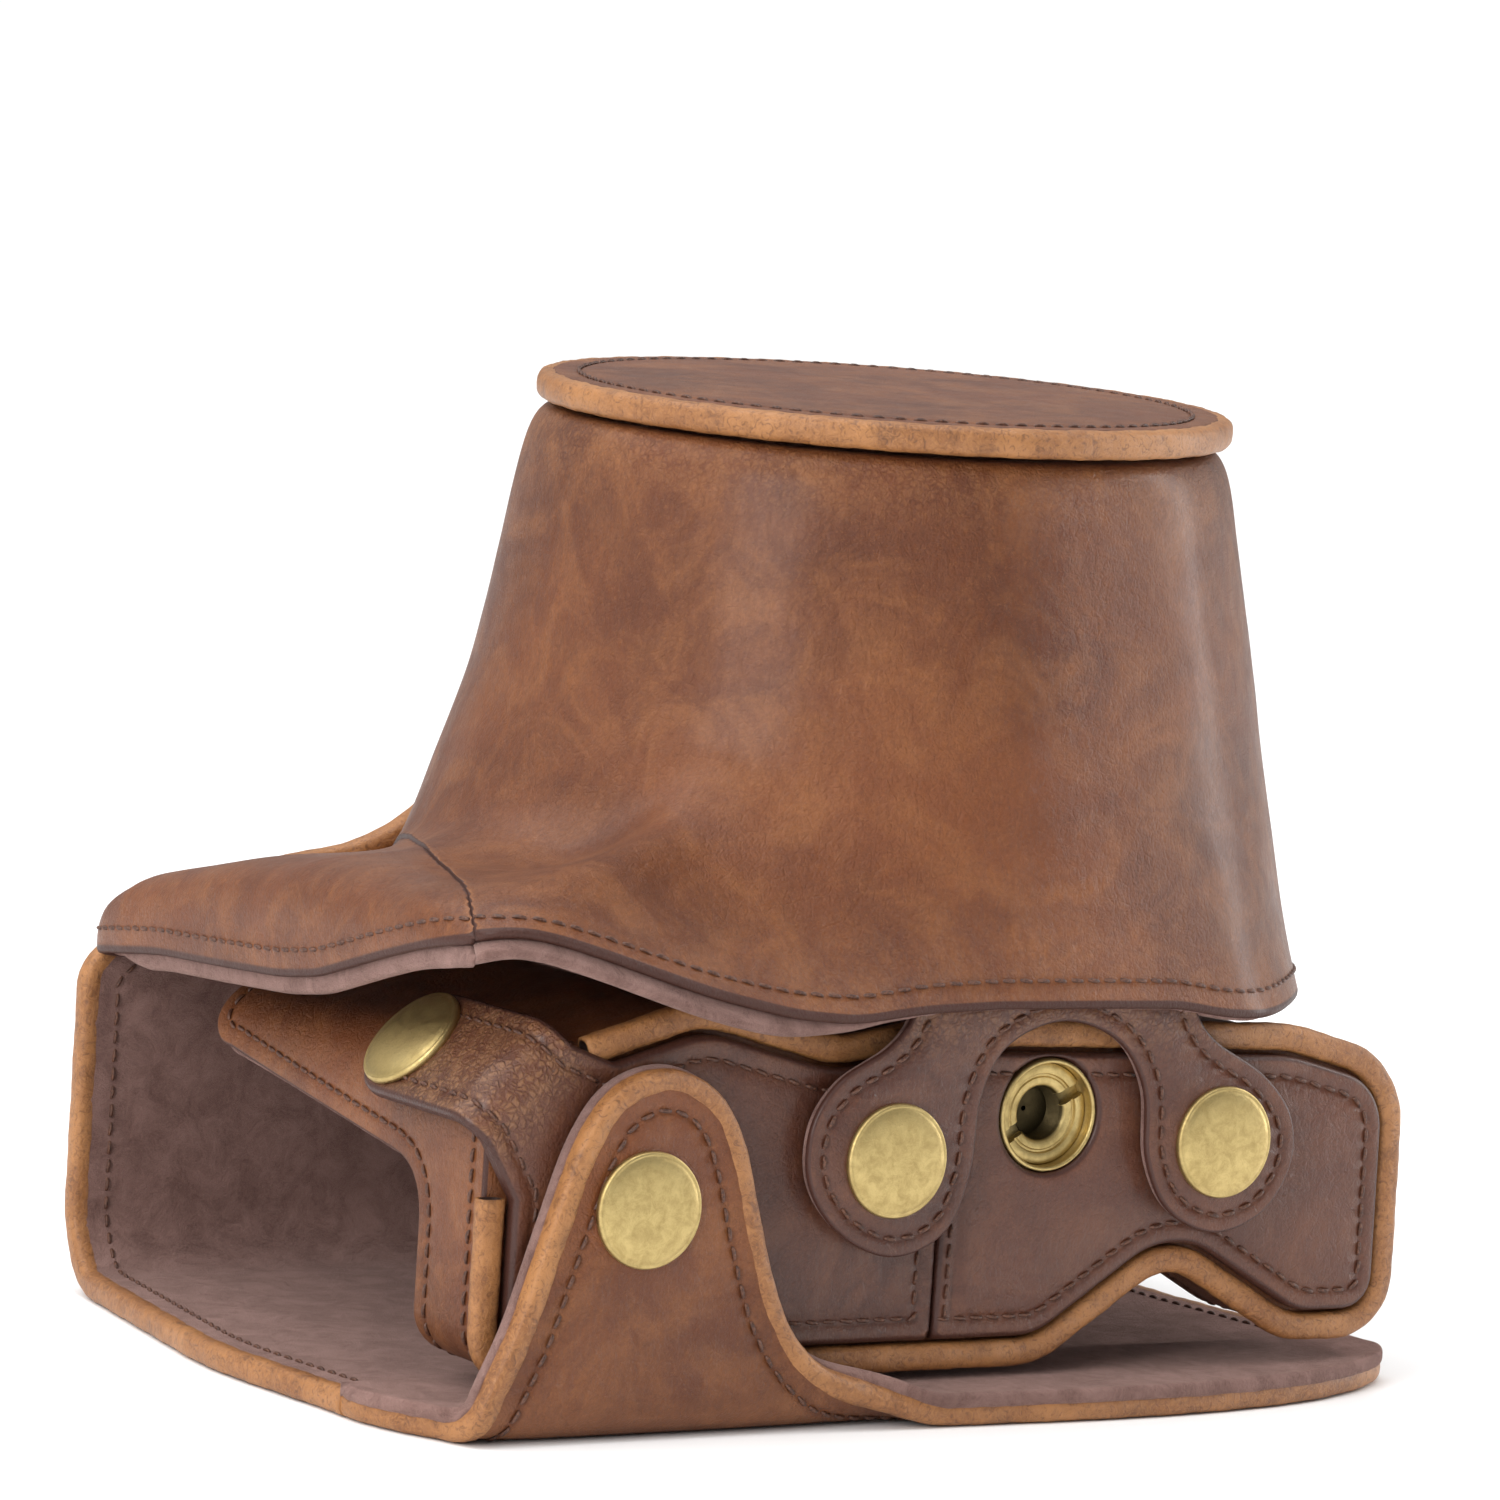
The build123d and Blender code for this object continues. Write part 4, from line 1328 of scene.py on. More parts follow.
    def build_flap(self) -> None:
        """Battery flap and its strap, cut from one piece of leather."""
        loop = self.flap_loop()
        panel = CutPanel("battery_flap_and_strap", [loop], self.thickness, self.place_flap, 0.75, 1.1,
                         self.stitch_inset, 0.3, wear=self.strap_wear)
        flap = self.dress(panel.build(), Slot.PLATE, None, ["battery_flap", "flap_strap"])
        ring = inset_loop(loop, self.stitch_inset + 0.2)
        sewn = longest_run(ring, ring[:, 0] < self.hinge_x - 1.2)
        stitches = Stitching("battery_flap_stitches")
        stitches.add(*on_panel(self.place_flap, sewn, self.thickness - 0.12))
        thread = self.dress(stitches.build(), Slot.THREAD, None)
        nx, nz = self.strap_normal
        for piece in (flap, thread):
            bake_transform(piece)

    def build(self) -> None:
        """Builds both halves of the plate."""
        self.build_fixed()
        self.build_flap()


@dataclass
class Hardware(Assembly):
    """Brass caps, sockets, studs and the tripod screw."""

    cap_radius: float = 6.25
    cap_height: float = 1.45

    def cap(self, name: str, node: str, centre: Point3, axis: Vector, body: Body) -> None:
        """Domed cap with a rolled rim."""
        r, h = self.cap_radius, self.cap_height
        profile = [(0.4, h), (r * 0.35, h - 0.03), (r * 0.62, h - 0.12), (r * 0.82, h - 0.27),
                   (r - 0.62, h - 0.42), (r - 0.48, h - 0.53), (r - 0.36, h - 0.50), (r - 0.2, h - 0.52),
                   (r - 0.05, h - 0.72), (r, h - 0.95), (r - 0.05, 0.12), (r - 0.3, 0.0), (0.4, 0.0)]
        self.dress(lathe(name, profile, centre, axis, 96), Slot.BRASS, body, [node])

    def socket(self, name: str, node: str, centre: Point3, axis: Vector, body: Body) -> None:
        """Ring socket let into the lining, with its spring lips."""
        profile = [(2.15, 0.85), (4.2, 0.85), (4.4, 0.7), (4.4, 0.15), (4.2, 0.0), (3.5, -0.05), (3.2, 0.12),
                   (2.6, 0.12), (2.35, 0.0), (2.15, 0.1), (2.1, 0.5)]
        ring = lathe_ring(name, profile, centre, axis, 64)
        self.dress(ring, Slot.BRASS, body, [node])

    def stud(self, name: str, node: str, centre: Point3, axis: Vector, body: Body) -> None:
        """Low stud on a round foot."""
        profile = [(0.05, 0.70), (1.5, 0.70), (1.8, 0.62), (1.9, 0.5), (1.78, 0.38), (1.72, 0.26),
                   (2.6, 0.25), (3.05, 0.2), (3.2, 0.08), (3.2, 0.0), (0.05, 0.0)]
        self.dress(lathe(name, profile, centre, axis, 64), Slot.BRASS, body, [node])

    def build_screw(self) -> None:
        """Slotted tripod screw in its stepped bush, with the retaining ring."""
        axis = Vector((0, -1, 0))
        centre = (SCREW_X, 0.0, SCREW_Z)
        bush = [(6.25, -1.6), (6.25, 2.35), (6.15, 2.6), (5.95, 2.68), (5.75, 2.6), (5.7, 2.35), (5.7, -0.38),
                (4.05, -0.4), (4.05, -1.6)]
        housing = lathe_ring("screw_bush_ring", bush, centre, axis, 120)
        self.dress(housing, Slot.BRASS, Body.HALF_CASE, ["screw_bush"])
        head = [(2.9, -2.2), (2.75, -2.0)]
        for k in range(4):
            head += [(3.0, -1.75 + 0.5 * k), (2.75, -1.5 + 0.5 * k)]
        head += [(3.0, 0.25), (2.8, 0.5), (2.95, 0.75), (3.2, 1.05), (3.45, 1.15), (3.95, 1.15), (4.1, 1.02),
                 (4.3, 1.02), (4.42, 1.3), (4.6, 1.4), (5.3, 1.4), (5.55, 1.3), (5.63, 1.1), (5.63, -0.33),
                 (4.0, -0.36), (4.0, -1.85), (3.5, -1.85), (3.5, -2.3), (4.0, -2.32), (4.0, -2.6),
                 (3.1, -2.7)]
        stud = [(3.1, -2.9)]
        for k in range(8):
            stud += [(2.72, -3.2 - 0.5 * k), (3.1, -3.45 - 0.5 * k)]
        tip = [(2.7, -7.0), (0.3, -7.0), (0.3, -2.4)]
        screw = lathe_ring("slotted_tripod_screw", head + stud + tip, centre, axis, 160)
        tarnish(screw, Vector(centre), 3.12, 0.9)
        slot = bar("slot_cutter", (SCREW_X, -1.25, SCREW_Z), (13.0, 2.0, 1.5), -30.0)
        cut_with(screw, slot)
        self.dress(screw, Slot.BRASS, Body.SCREW, ["tripod_screw"])
        ring = [(3.6, -2.22), (5.4, -2.22), (5.4, -1.88), (3.6, -1.88)]
        self.dress(lathe_ring("retaining_ring", ring, centre, axis, 80), Slot.BRASS, Body.SCREW,
                   ["screw_retaining_ring"])

    def build(self) -> None:
        """Builds all brass parts."""
        down = Vector((0, -1, 0))
        strap = Vector((-0.73, 0.0, 0.683))
        foot = Vector((-54.8, 18.0, 36.9))
        self.cap("strap_cap", "strap_snap_cap", tuple(foot + strap * 2.95), strap, Body.STRAP)
        self.socket("strap_socket", "strap_snap_socket", tuple(foot + strap * 1.3), strap, Body.STRAP)
        self.stud("strap_stud", "corner_stud", tuple(foot + strap * 0.1), strap, Body.HALF_CASE)
        self.cap("left_lobe_cap", "left_lobe_snap_cap", (-10.6, -5.5, 28.8), down, Body.FRONT_TAB)
        self.socket("left_lobe_socket", "left_lobe_snap_socket", (-10.6, -3.8, 28.6), down, Body.FRONT_TAB)
        self.cap("right_lobe_cap", "right_lobe_snap_cap", (32.3, -5.5, 29.9), down, Body.FRONT_TAB)
        self.socket("right_lobe_socket", "right_lobe_snap_socket", (32.2, -3.8, 29.9), down, Body.FRONT_TAB)
        self.cap("back_tab_cap", "back_tab_snap_cap", (-42.0, -7.1, 24.6), down, Body.BACK_TAB)
        self.socket("back_tab_socket", "back_tab_snap_socket", (-42.0, -4.5, 24.6), down, Body.BACK_TAB)
        self.stud("flap_stud_front", "flap_stud_for_front_tab", (-10.6, -2.6, 28.6), down, Body.FLAP)
        self.stud("flap_stud_back", "flap_stud_for_back_tab", (-42.0, -2.6, 24.6), down, Body.FLAP)
        self.stud("plate_stud_right", "plate_stud", (32.2, -2.6, 29.9), down, Body.HALF_CASE)
        self.build_screw()


def lathe_ring(name: str, profile: Sequence[Point2], centre: Point3, axis: Vector,
               segments: int) -> bpy.types.Object:
    """Turned ring.

    Args:
        name: name of the piece.
        profile: (radius, height) points of a section that closes on itself.
        centre: where height is 0.
        axis: direction of the height.
        segments: points round it.

    Returns:
        The object.
    """
    axis = axis.normalized()
    side = axis.orthogonal().normalized()
    other = axis.cross(side)
    verts, faces = [], []
    for k in range(segments):
        a = 2 * math.pi * k / segments
        out = side * math.cos(a) + other * math.sin(a)
        verts += [tuple(Vector(centre) + axis * h + out * r) for r, h in profile]
    count = len(profile)
    for k in range(segments):
        m = (k + 1) % segments
        for i in range(count):
            j = (i + 1) % count
            faces.append((k * count + i, m * count + i, m * count + j, k * count + j))
    return new_object(name, np.array(verts), faces)


def tarnish(obj: bpy.types.Object, centre: Vector, radius: float, height: float) -> None:
    """Marks the bore of a turned piece as dark with age.

    Args:
        obj: the piece.
        centre: a point on its axis, which lies along -Y.
        radius: points nearer to the axis are marked.
        height: and only below this height.
    """
    middle = row(*centre)
    marks = obj.data.attributes["cut_edge"]
    for vert, mark in zip(obj.data.vertices, marks.data):
        away = vert.co - middle
        if math.hypot(away.x, away.z) < radius * MM and -away.y < height * MM:
            mark.value = 1.0


def bar(name: str, centre: Point3, size: Point3, turn: float) -> bpy.types.Object:
    """Straight bar that cuts a slot.

    Args:
        name: name of the piece.
        centre: its middle.
        size: its three sides.
        turn: degrees that it is turned about Y.

    Returns:
        The object.
    """
    x, y, z = (s / 2 for s in size)
    corners = [Vector((a * x, b * y, c * z)) for a in (-1, 1) for b in (-1, 1) for c in (-1, 1)]
    spin = Matrix.Rotation(math.radians(turn), 3, "Y")
    verts = np.array([tuple(Vector(centre) + spin @ c) for c in corners])
    faces = [(0, 1, 3, 2), (4, 6, 7, 5), (0, 4, 5, 1), (2, 3, 7, 6), (0, 2, 6, 4), (1, 5, 7, 3)]
    return new_object(name, verts, faces)


def cut_with(obj: bpy.types.Object, cutter: bpy.types.Object) -> None:
    """Cuts one mesh with another and removes the cutter."""
    tool = obj.modifiers.new("cut", "BOOLEAN")
    tool.operation, tool.object, tool.solver = "DIFFERENCE", cutter, "EXACT"
    view = bpy.context.evaluated_depsgraph_get()
    made = bpy.data.meshes.new_from_object(obj.evaluated_get(view))
    obj.modifiers.clear()
    obj.data = made
    made.shade_smooth()
    made.set_sharp_from_angle(angle=math.radians(35))
    bpy.data.objects.remove(cutter)


# ---- cover ---------------------------------------------------------------------------------
def resample_to(path: np.ndarray, count: int) -> np.ndarray:
    """Path with a number of evenly spaced points."""
    lengths = np.concatenate([[0], np.cumsum(np.linalg.norm(np.diff(path, axis=0), axis=1))])
    places = np.linspace(0, lengths[-1], count)
    return np.stack([np.interp(places, lengths, path[:, k]) for k in range(path.shape[1])], axis=1)


def spline(control: np.ndarray, per_span: int) -> np.ndarray:
    """Uniform cubic B-spline that starts and ends at its end points."""
    p = np.concatenate([control[:1], control[:1], control, control[-1:], control[-1:]])
    t = np.linspace(0, 1, per_span, endpoint=False)[:, None]
    spans = []
    for i in range(len(p) - 3):
        a, b, c, d = p[i:i + 4]
        spans.append(((1 - t) ** 3 * a + (3 * t**3 - 6 * t**2 + 4) * b
                      + (-3 * t**3 + 3 * t**2 + 3 * t + 1) * c + t**3 * d) / 6)
    return np.vstack([*spans, p[-1:]])


LIP_FRONT = [(-63.9, 54.4), (-56.8, 53.9), (-49.6, 51.9), (-42.2, 49.6), (-34.7, 47.4), (-24.7, 45.2),
             (-17.2, 44.5), (-8.4, 45.5), (0.6, 45.9), (13.7, 45.9), (24.3, 45.7), (31.2, 44.6), (37.0, 44.2),
             (48.0, 44.6)]
LIP_LEFT = [(-6.9, 54.4), (-0.1, 52.7), (8.2, 50.5), (16.8, 48.3), (29.9, 44.7), (39.1, 43.5), (53.4, 42.7),
            (68.3, 42.0), (83.6, 40.2), (90.0, 39.1)]
SHELF = [(-7.0, 57.3), (20.0, 57.2), (38.6, 56.9), (55.0, 54.9), (79.5, 50.4), (91.9, 45.0)]


@dataclass
class Cover(Assembly):
    """Snout with its flared foot and shoulders, lid and linings."""

    base_radius: float = 49.3
    taper: float = 0.1762
    left: float = -63.0
    front: float = -6.9
    top: float = 90.0
    right: float = 63.5
    meridians: int = 540
    rings: int = 128
    leather: float = 1.2
    lining: float = 1.5
    overlap: float = 0.35
    lid_radius: float = 39.4
    lid_tilt: float = 3.0
    lid_lean: float = 1.2
    seat_z: float = 106.0
    seat_reach: float = 38.0
    far_side: float = 87.6
    shoulder_start: int = 40
    lining_start: int = 6
    seam_point: Point3 = (-61.6, -2.0, 55.0)
    seam_slope: float = -0.39
    lip_stitch: float = 2.4

    def radius(self, z: float, angle: float) -> float:
        """Radius of the plain cone at a height; the right side stands a little prouder."""
        facing = math.cos(angle)
        swell = 0.2 + (2.3 * facing**2 if facing > 0 else 0.8 * facing**2)
        return self.base_radius - self.taper * (z - 44.0) + swell

    def plan_edge(self, angle: float) -> float:
        """Distance from the lens axis to the cover's side, in plan."""
        sides = [(180.0, LENS_X - self.left + 0.4), (-90.0, LENS_Y - self.front), (-45.0, 53.0),
                 (-20.0, 52.6), (0.0, self.right - LENS_X), (90.0, self.top - LENS_Y)]
        power, blend = 16, 36
        facing = [(max(math.cos(angle - math.radians(turn)), 0.0), reach) for turn, reach in sides]
        total = sum((share / reach) ** power for share, reach in facing)
        box, cone = total ** (-1 / power), self.radius(46.0, angle)
        return cone * (1 + (box / cone) ** blend) ** (1 / blend)

    def lip_height(self, angle: float, edge: float) -> float:
        """Height of the lip at an angle."""
        x, y = LENS_X + edge * math.cos(angle), LENS_Y + edge * math.sin(angle)
        degrees = math.degrees(angle)
        if degrees < -40 and x > self.left + 2.5:
            return float(np.interp(x, *zip(*LIP_FRONT)))
        if x < LENS_X - 40:
            return float(np.interp(y, *zip(*LIP_LEFT)))
        return float(np.interp(degrees, [-40, 0, 40, 60, 130, 180], [44.5, 43.6, 42.6, 42, 41, 41]))

    def controls(self, angle: float, lip: float) -> np.ndarray:
        """Control points (radius, height) of one meridian, from the lid seat to the lip."""
        edge = self.plan_edge(angle)
        margin = max(edge - self.radius(46.0, angle), 0.0)
        degrees = math.degrees(angle)
        shelf = float(np.interp(LENS_Y + edge * math.sin(angle), *zip(*SHELF)))
        ledge = float(smoothstep(np.array(-degrees), 138.0, 158.0)) if degrees < 0 else float(
            smoothstep(np.array(degrees), 112.0, 150.0))
        seat = self.seat(angle)
        top = self.radius(seat, angle)
        head = [(top - 4.2, seat - 0.4), (top - 1.7, seat - 0.4), (top - 0.35, seat - 1.7),
                (self.radius(seat - 4.5, angle) - 0.05, seat - 4.5)]
        head += [(self.radius(z, angle), z) for z in (95.0, 88.0, 81.0, 75.0)]
        shares = np.array([0.03, 0.16, 0.3, 0.44, 0.57, 0.69, 0.8, 0.9, 0.96, 1.0])
        heights = 74.0 + (lip - 74.0) * shares
        slope = [(self.radius(z, angle) + margin * f**2.3, z) for f, z in zip(shares, heights)]
        turn = float(np.clip(0.85 * (shelf - lip), 1.8, 8.0))
        foot = self.radius(68.0, angle)
        start, end = foot + 9.5, max(edge - 1.5 * turn, foot + 11.0)
        spread = [(foot + 0.9, 68.5), (foot + 2.6, 63.0), (foot + 5.4, shelf + 2.6), (start, shelf + 0.7),
                  ((start + end) / 2, shelf + 0.2), (end, shelf), (edge - 0.6 * turn, shelf - 0.06 * turn),
                  (edge - 0.1 * turn, shelf - 0.34 * turn), (edge + 0.15, shelf - 0.85 * turn), (edge, lip)]
        tail = np.array(slope) * (1 - ledge) + np.array(spread) * ledge
        return np.vstack([head, tail])

    @property
    def seam_normal(self) -> Vector:
        """Direction from the left shoulder to the snout across their seam."""
        return Vector((1.0, self.seam_slope, 0.0)).normalized()

    def seat(self, angle: float) -> float:
        """Height of the lid's seat round the snout."""
        reach = self.seat_reach
        return (self.seat_z + reach * math.sin(angle) * math.sin(math.radians(self.lid_tilt))
                + reach * math.cos(angle) * math.sin(math.radians(self.lid_lean)))

    def surface(self) -> np.ndarray:
        """Grid of the outer surface, round the snout and then down each meridian."""
        angles = np.linspace(math.pi, -math.pi, self.meridians, endpoint=False) - 0.002
        angles = (angles + math.pi) % (2 * math.pi) - math.pi
        lips = np.array([self.lip_height(a, self.plan_edge(a)) for a in angles])
        kernel = np.hanning(11)
        kernel /= kernel.sum()
        lips = np.convolve(np.concatenate([lips[-5:], lips, lips[:5]]), kernel, "valid")
        grid = []
        for angle, lip in zip(angles, lips):
            curve = resample_to(spline(self.controls(angle, lip), 12), self.rings)
            grid.append(np.stack([LENS_X + curve[:, 0] * math.cos(angle),
                                  LENS_Y + curve[:, 0] * math.sin(angle), curve[:, 1]], axis=1))
        return np.array(grid)

    def worn(self, grid: np.ndarray) -> np.ndarray:
        """Surface with the small dents and pulls of handled leather."""
        normal = grid_normals(grid)
        steps = np.arange(grid.shape[1], dtype=float)
        fade = smoothstep(steps, 12.0, 30.0) * (1 - 0.85 * smoothstep(steps, 100.0, 120.0))
        lift = np.zeros(grid.shape[:2])
        for scale, depth in ((0.028, 0.55), (0.075, 0.22), (0.2, 0.06)):
            for i in range(grid.shape[0]):
                for k in range(grid.shape[1]):
                    lift[i, k] += depth * noise.noise(Vector(grid[i, k] * scale))
        return grid + normal * (lift * fade[None])[..., None]

    def clamped(self, grid: np.ndarray, limit: float) -> np.ndarray:
        """Surface kept in front of the top panel."""
        grid = grid.copy()
        grid[..., 1] = np.minimum(grid[..., 1], limit)
        return grid

    def past_lip(self, grid: np.ndarray) -> np.ndarray:
        """Lining that shows below the lip at the open left end and stays above it elsewhere."""
        step = grid[:, -1] - grid[:, -3]
        step /= np.linalg.norm(step, axis=1, keepdims=True)
        shown = smoothstep(-grid[:, -1, 0], 12.0, 30.0) * (1 - smoothstep(grid[:, -1, 1], 72.0, 84.0))
        reach = (2.1 * shown - 0.3)[:, None]
        return np.concatenate([grid[:, :-1], (grid[:, -1] + step * reach)[:, None]], axis=1)

    def build_shells(self) -> None:
        """Snout, left shoulder and their linings, with the stitched lip."""
        grid = self.worn(self.surface())
        normal = grid_normals(grid)
        snout = shell("snout_leather", self.clamped(grid, self.far_side), self.leather)
        self.mark_wear(snout)
        split(snout, self.seam_point, -self.seam_normal)
        self.dress(snout, Slot.BROWN, Body.COVER, ["snout", "snout_flare", "right_shoulder"])
        low = self.clamped(grid - normal * self.overlap, self.far_side - 0.1)
        shoulder = shell("left_shoulder_leather", low[:, self.shoulder_start:], self.leather)
        split(shoulder, self.seam_point, self.seam_normal)
        self.dress(shoulder, Slot.BROWN, Body.COVER, ["left_shoulder"])
        inner = self.clamped(grid - normal * (self.leather + 0.05), self.far_side - 1.3)
        inner = self.past_lip(inner)[:, self.lining_start:]
        snout_suede = shell("cover_suede", inner, self.lining)
        split(snout_suede, self.seam_point, -self.seam_normal)
        self.dress(snout_suede, Slot.SUEDE, Body.COVER, ["snout_lining", "right_shoulder_lining"])
        lower = self.clamped(grid - normal * (self.leather + self.overlap + 0.05), self.far_side - 1.4)
        lower = self.past_lip(lower)[:, self.shoulder_start:]
        shoulder_suede = shell("left_shoulder_suede", lower, self.lining)
        split(shoulder_suede, self.seam_point, self.seam_normal)
        self.dress(shoulder_suede, Slot.SUEDE, Body.COVER, ["left_shoulder_lining"])
        self.build_lip_stitches(grid, normal)

    def mark_wear(self, snout: bpy.types.Object) -> None:
        """Marks the leather rubbed below the lid and over the flare."""
        values = []
        for vert in snout.data.vertices:
            height = vert.co.z / MM
            under_lid = smoothstep(np.array(height), self.seat_z - 13.0, self.seat_z - 2.0)
            foot = 1 - smoothstep(np.array(height), 47.0, 62.0)
            values.append(float(0.5 * under_lid + 0.22 * foot))
        snout.data.attributes["worn"].data.foreach_set("value", values)

    def build_lip_stitches(self, grid: np.ndarray, normal: np.ndarray) -> None:
        """Sewn row just above the lip.

        Args:
            grid: points of the outer surface.
            normal: its outward normals.
        """
        points, ups = [], []
        for i in range(grid.shape[0]):
            steps = np.linalg.norm(np.diff(grid[i, ::-1], axis=0), axis=1)
            along = np.concatenate([[0], np.cumsum(steps)])
            point = np.array([np.interp(self.lip_stitch, along, grid[i, ::-1, k]) for k in range(3)])
            up = np.array([np.interp(self.lip_stitch, along, normal[i, ::-1, k]) for k in range(3)])
            beyond = (point - np.array(self.seam_point)) @ np.array(self.seam_normal)
            drop = self.overlap if beyond < 0 else 0.0
            points.append(point - up * (drop + 0.02))
            ups.append(up)
        path, up = np.array(points), np.array(ups)
        keep = path[:, 1] < 84.5
        joined = longest_run(np.hstack([path, up]), keep)
        stitches = Stitching("lip_stitches").add(joined[:, :3], joined[:, 3:])
        self.dress(stitches.build(), Slot.THREAD, Body.COVER)

    def lid_place(self, u: np.ndarray, v: np.ndarray, h: np.ndarray) -> np.ndarray:
        """Pattern of the lid on its tilted seat.

        Args:
            u, v, h: X and Y from the middle of the lid, and the height above the seat.

        Returns:
            The points.
        """
        tilt, lean = math.radians(self.lid_tilt), math.radians(self.lid_lean)
        lift = h + 0.35 * (1 - (u**2 + v**2) / self.lid_radius**2)
        return np.stack([LENS_X + 1.1 + u - lift * math.sin(lean), LENS_Y + v - lift * math.sin(tilt),
                         self.seat_z + v * math.sin(tilt) + u * math.sin(lean) + lift], axis=1)

    def lid_circle(self, inset: float, step: float) -> np.ndarray:
        """Round pattern loop inside the edge of the lid."""
        radius = self.lid_radius - inset
        return circle(radius, int(2 * math.pi * radius / step))

    def build_lid(self) -> None:
        """Lid with its bound edge and lining."""
        disc = CutPanel("lid_leather", [self.lid_circle(1.0, 0.9)], 2.0, raised(self.lid_place, 1.25),
                        0.6, 1.4, 3.3, 0.15)
        self.dress(disc.build(), Slot.BROWN, Body.COVER, ["lid"])
        suede = CutPanel("lid_suede", [self.lid_circle(3.2, 1.2)], 1.0, raised(self.lid_place, 0.1),
                         0.4, 2.4, fuzz=0.04)
        self.dress(suede.build(), Slot.SUEDE, Body.COVER, ["lid_lining"])
        centre, up = on_panel(self.lid_place, self.lid_circle(1.15, 0.8), 1.62)
        bound = roll("lid_bound_edge", centre, up, 3.1, 3.25, closed=True, sides=20)
        self.dress(bound, Slot.TAN, Body.COVER, ["lid_binding"])
        stitches = Stitching("lid_stitches", pitch=2.3)
        stitches.add(*on_panel(self.lid_place, self.lid_circle(4.3, 0.8), 3.14), closed=True)
        self.dress(stitches.build(), Slot.THREAD, Body.COVER)

    def build(self) -> None:
        """Builds the cover."""
        self.build_shells()
        self.build_lid()


def split(obj: bpy.types.Object, point: Point3, normal: Vector) -> None:
    """Keeps the part of a mesh behind a plane and closes the cut.

    Args:
        obj: the mesh.
        point: a point of the plane.
        normal: direction of the part that goes.
    """
    body = bmesh.new()
    body.from_mesh(obj.data)
    geometry = body.verts[:] + body.edges[:] + body.faces[:]
    bmesh.ops.bisect_plane(body, geom=geometry, plane_co=row(*point), plane_no=normal, clear_outer=True)
    rim = [e for e in body.edges if e.is_boundary]
    made = bmesh.ops.triangle_fill(body, edges=rim, use_beauty=True, normal=normal)
    marks = body.verts.layers.float.get("cut_edge")
    for vert in {v for e in rim if e.is_valid for v in e.verts}:
        vert[marks] = 0.9
    bmesh.ops.recalc_face_normals(body, faces=body.faces)
    body.to_mesh(obj.data)
    body.free()
    LOG.debug("%s: closed with %d faces", obj.name, len(made["geom"]))


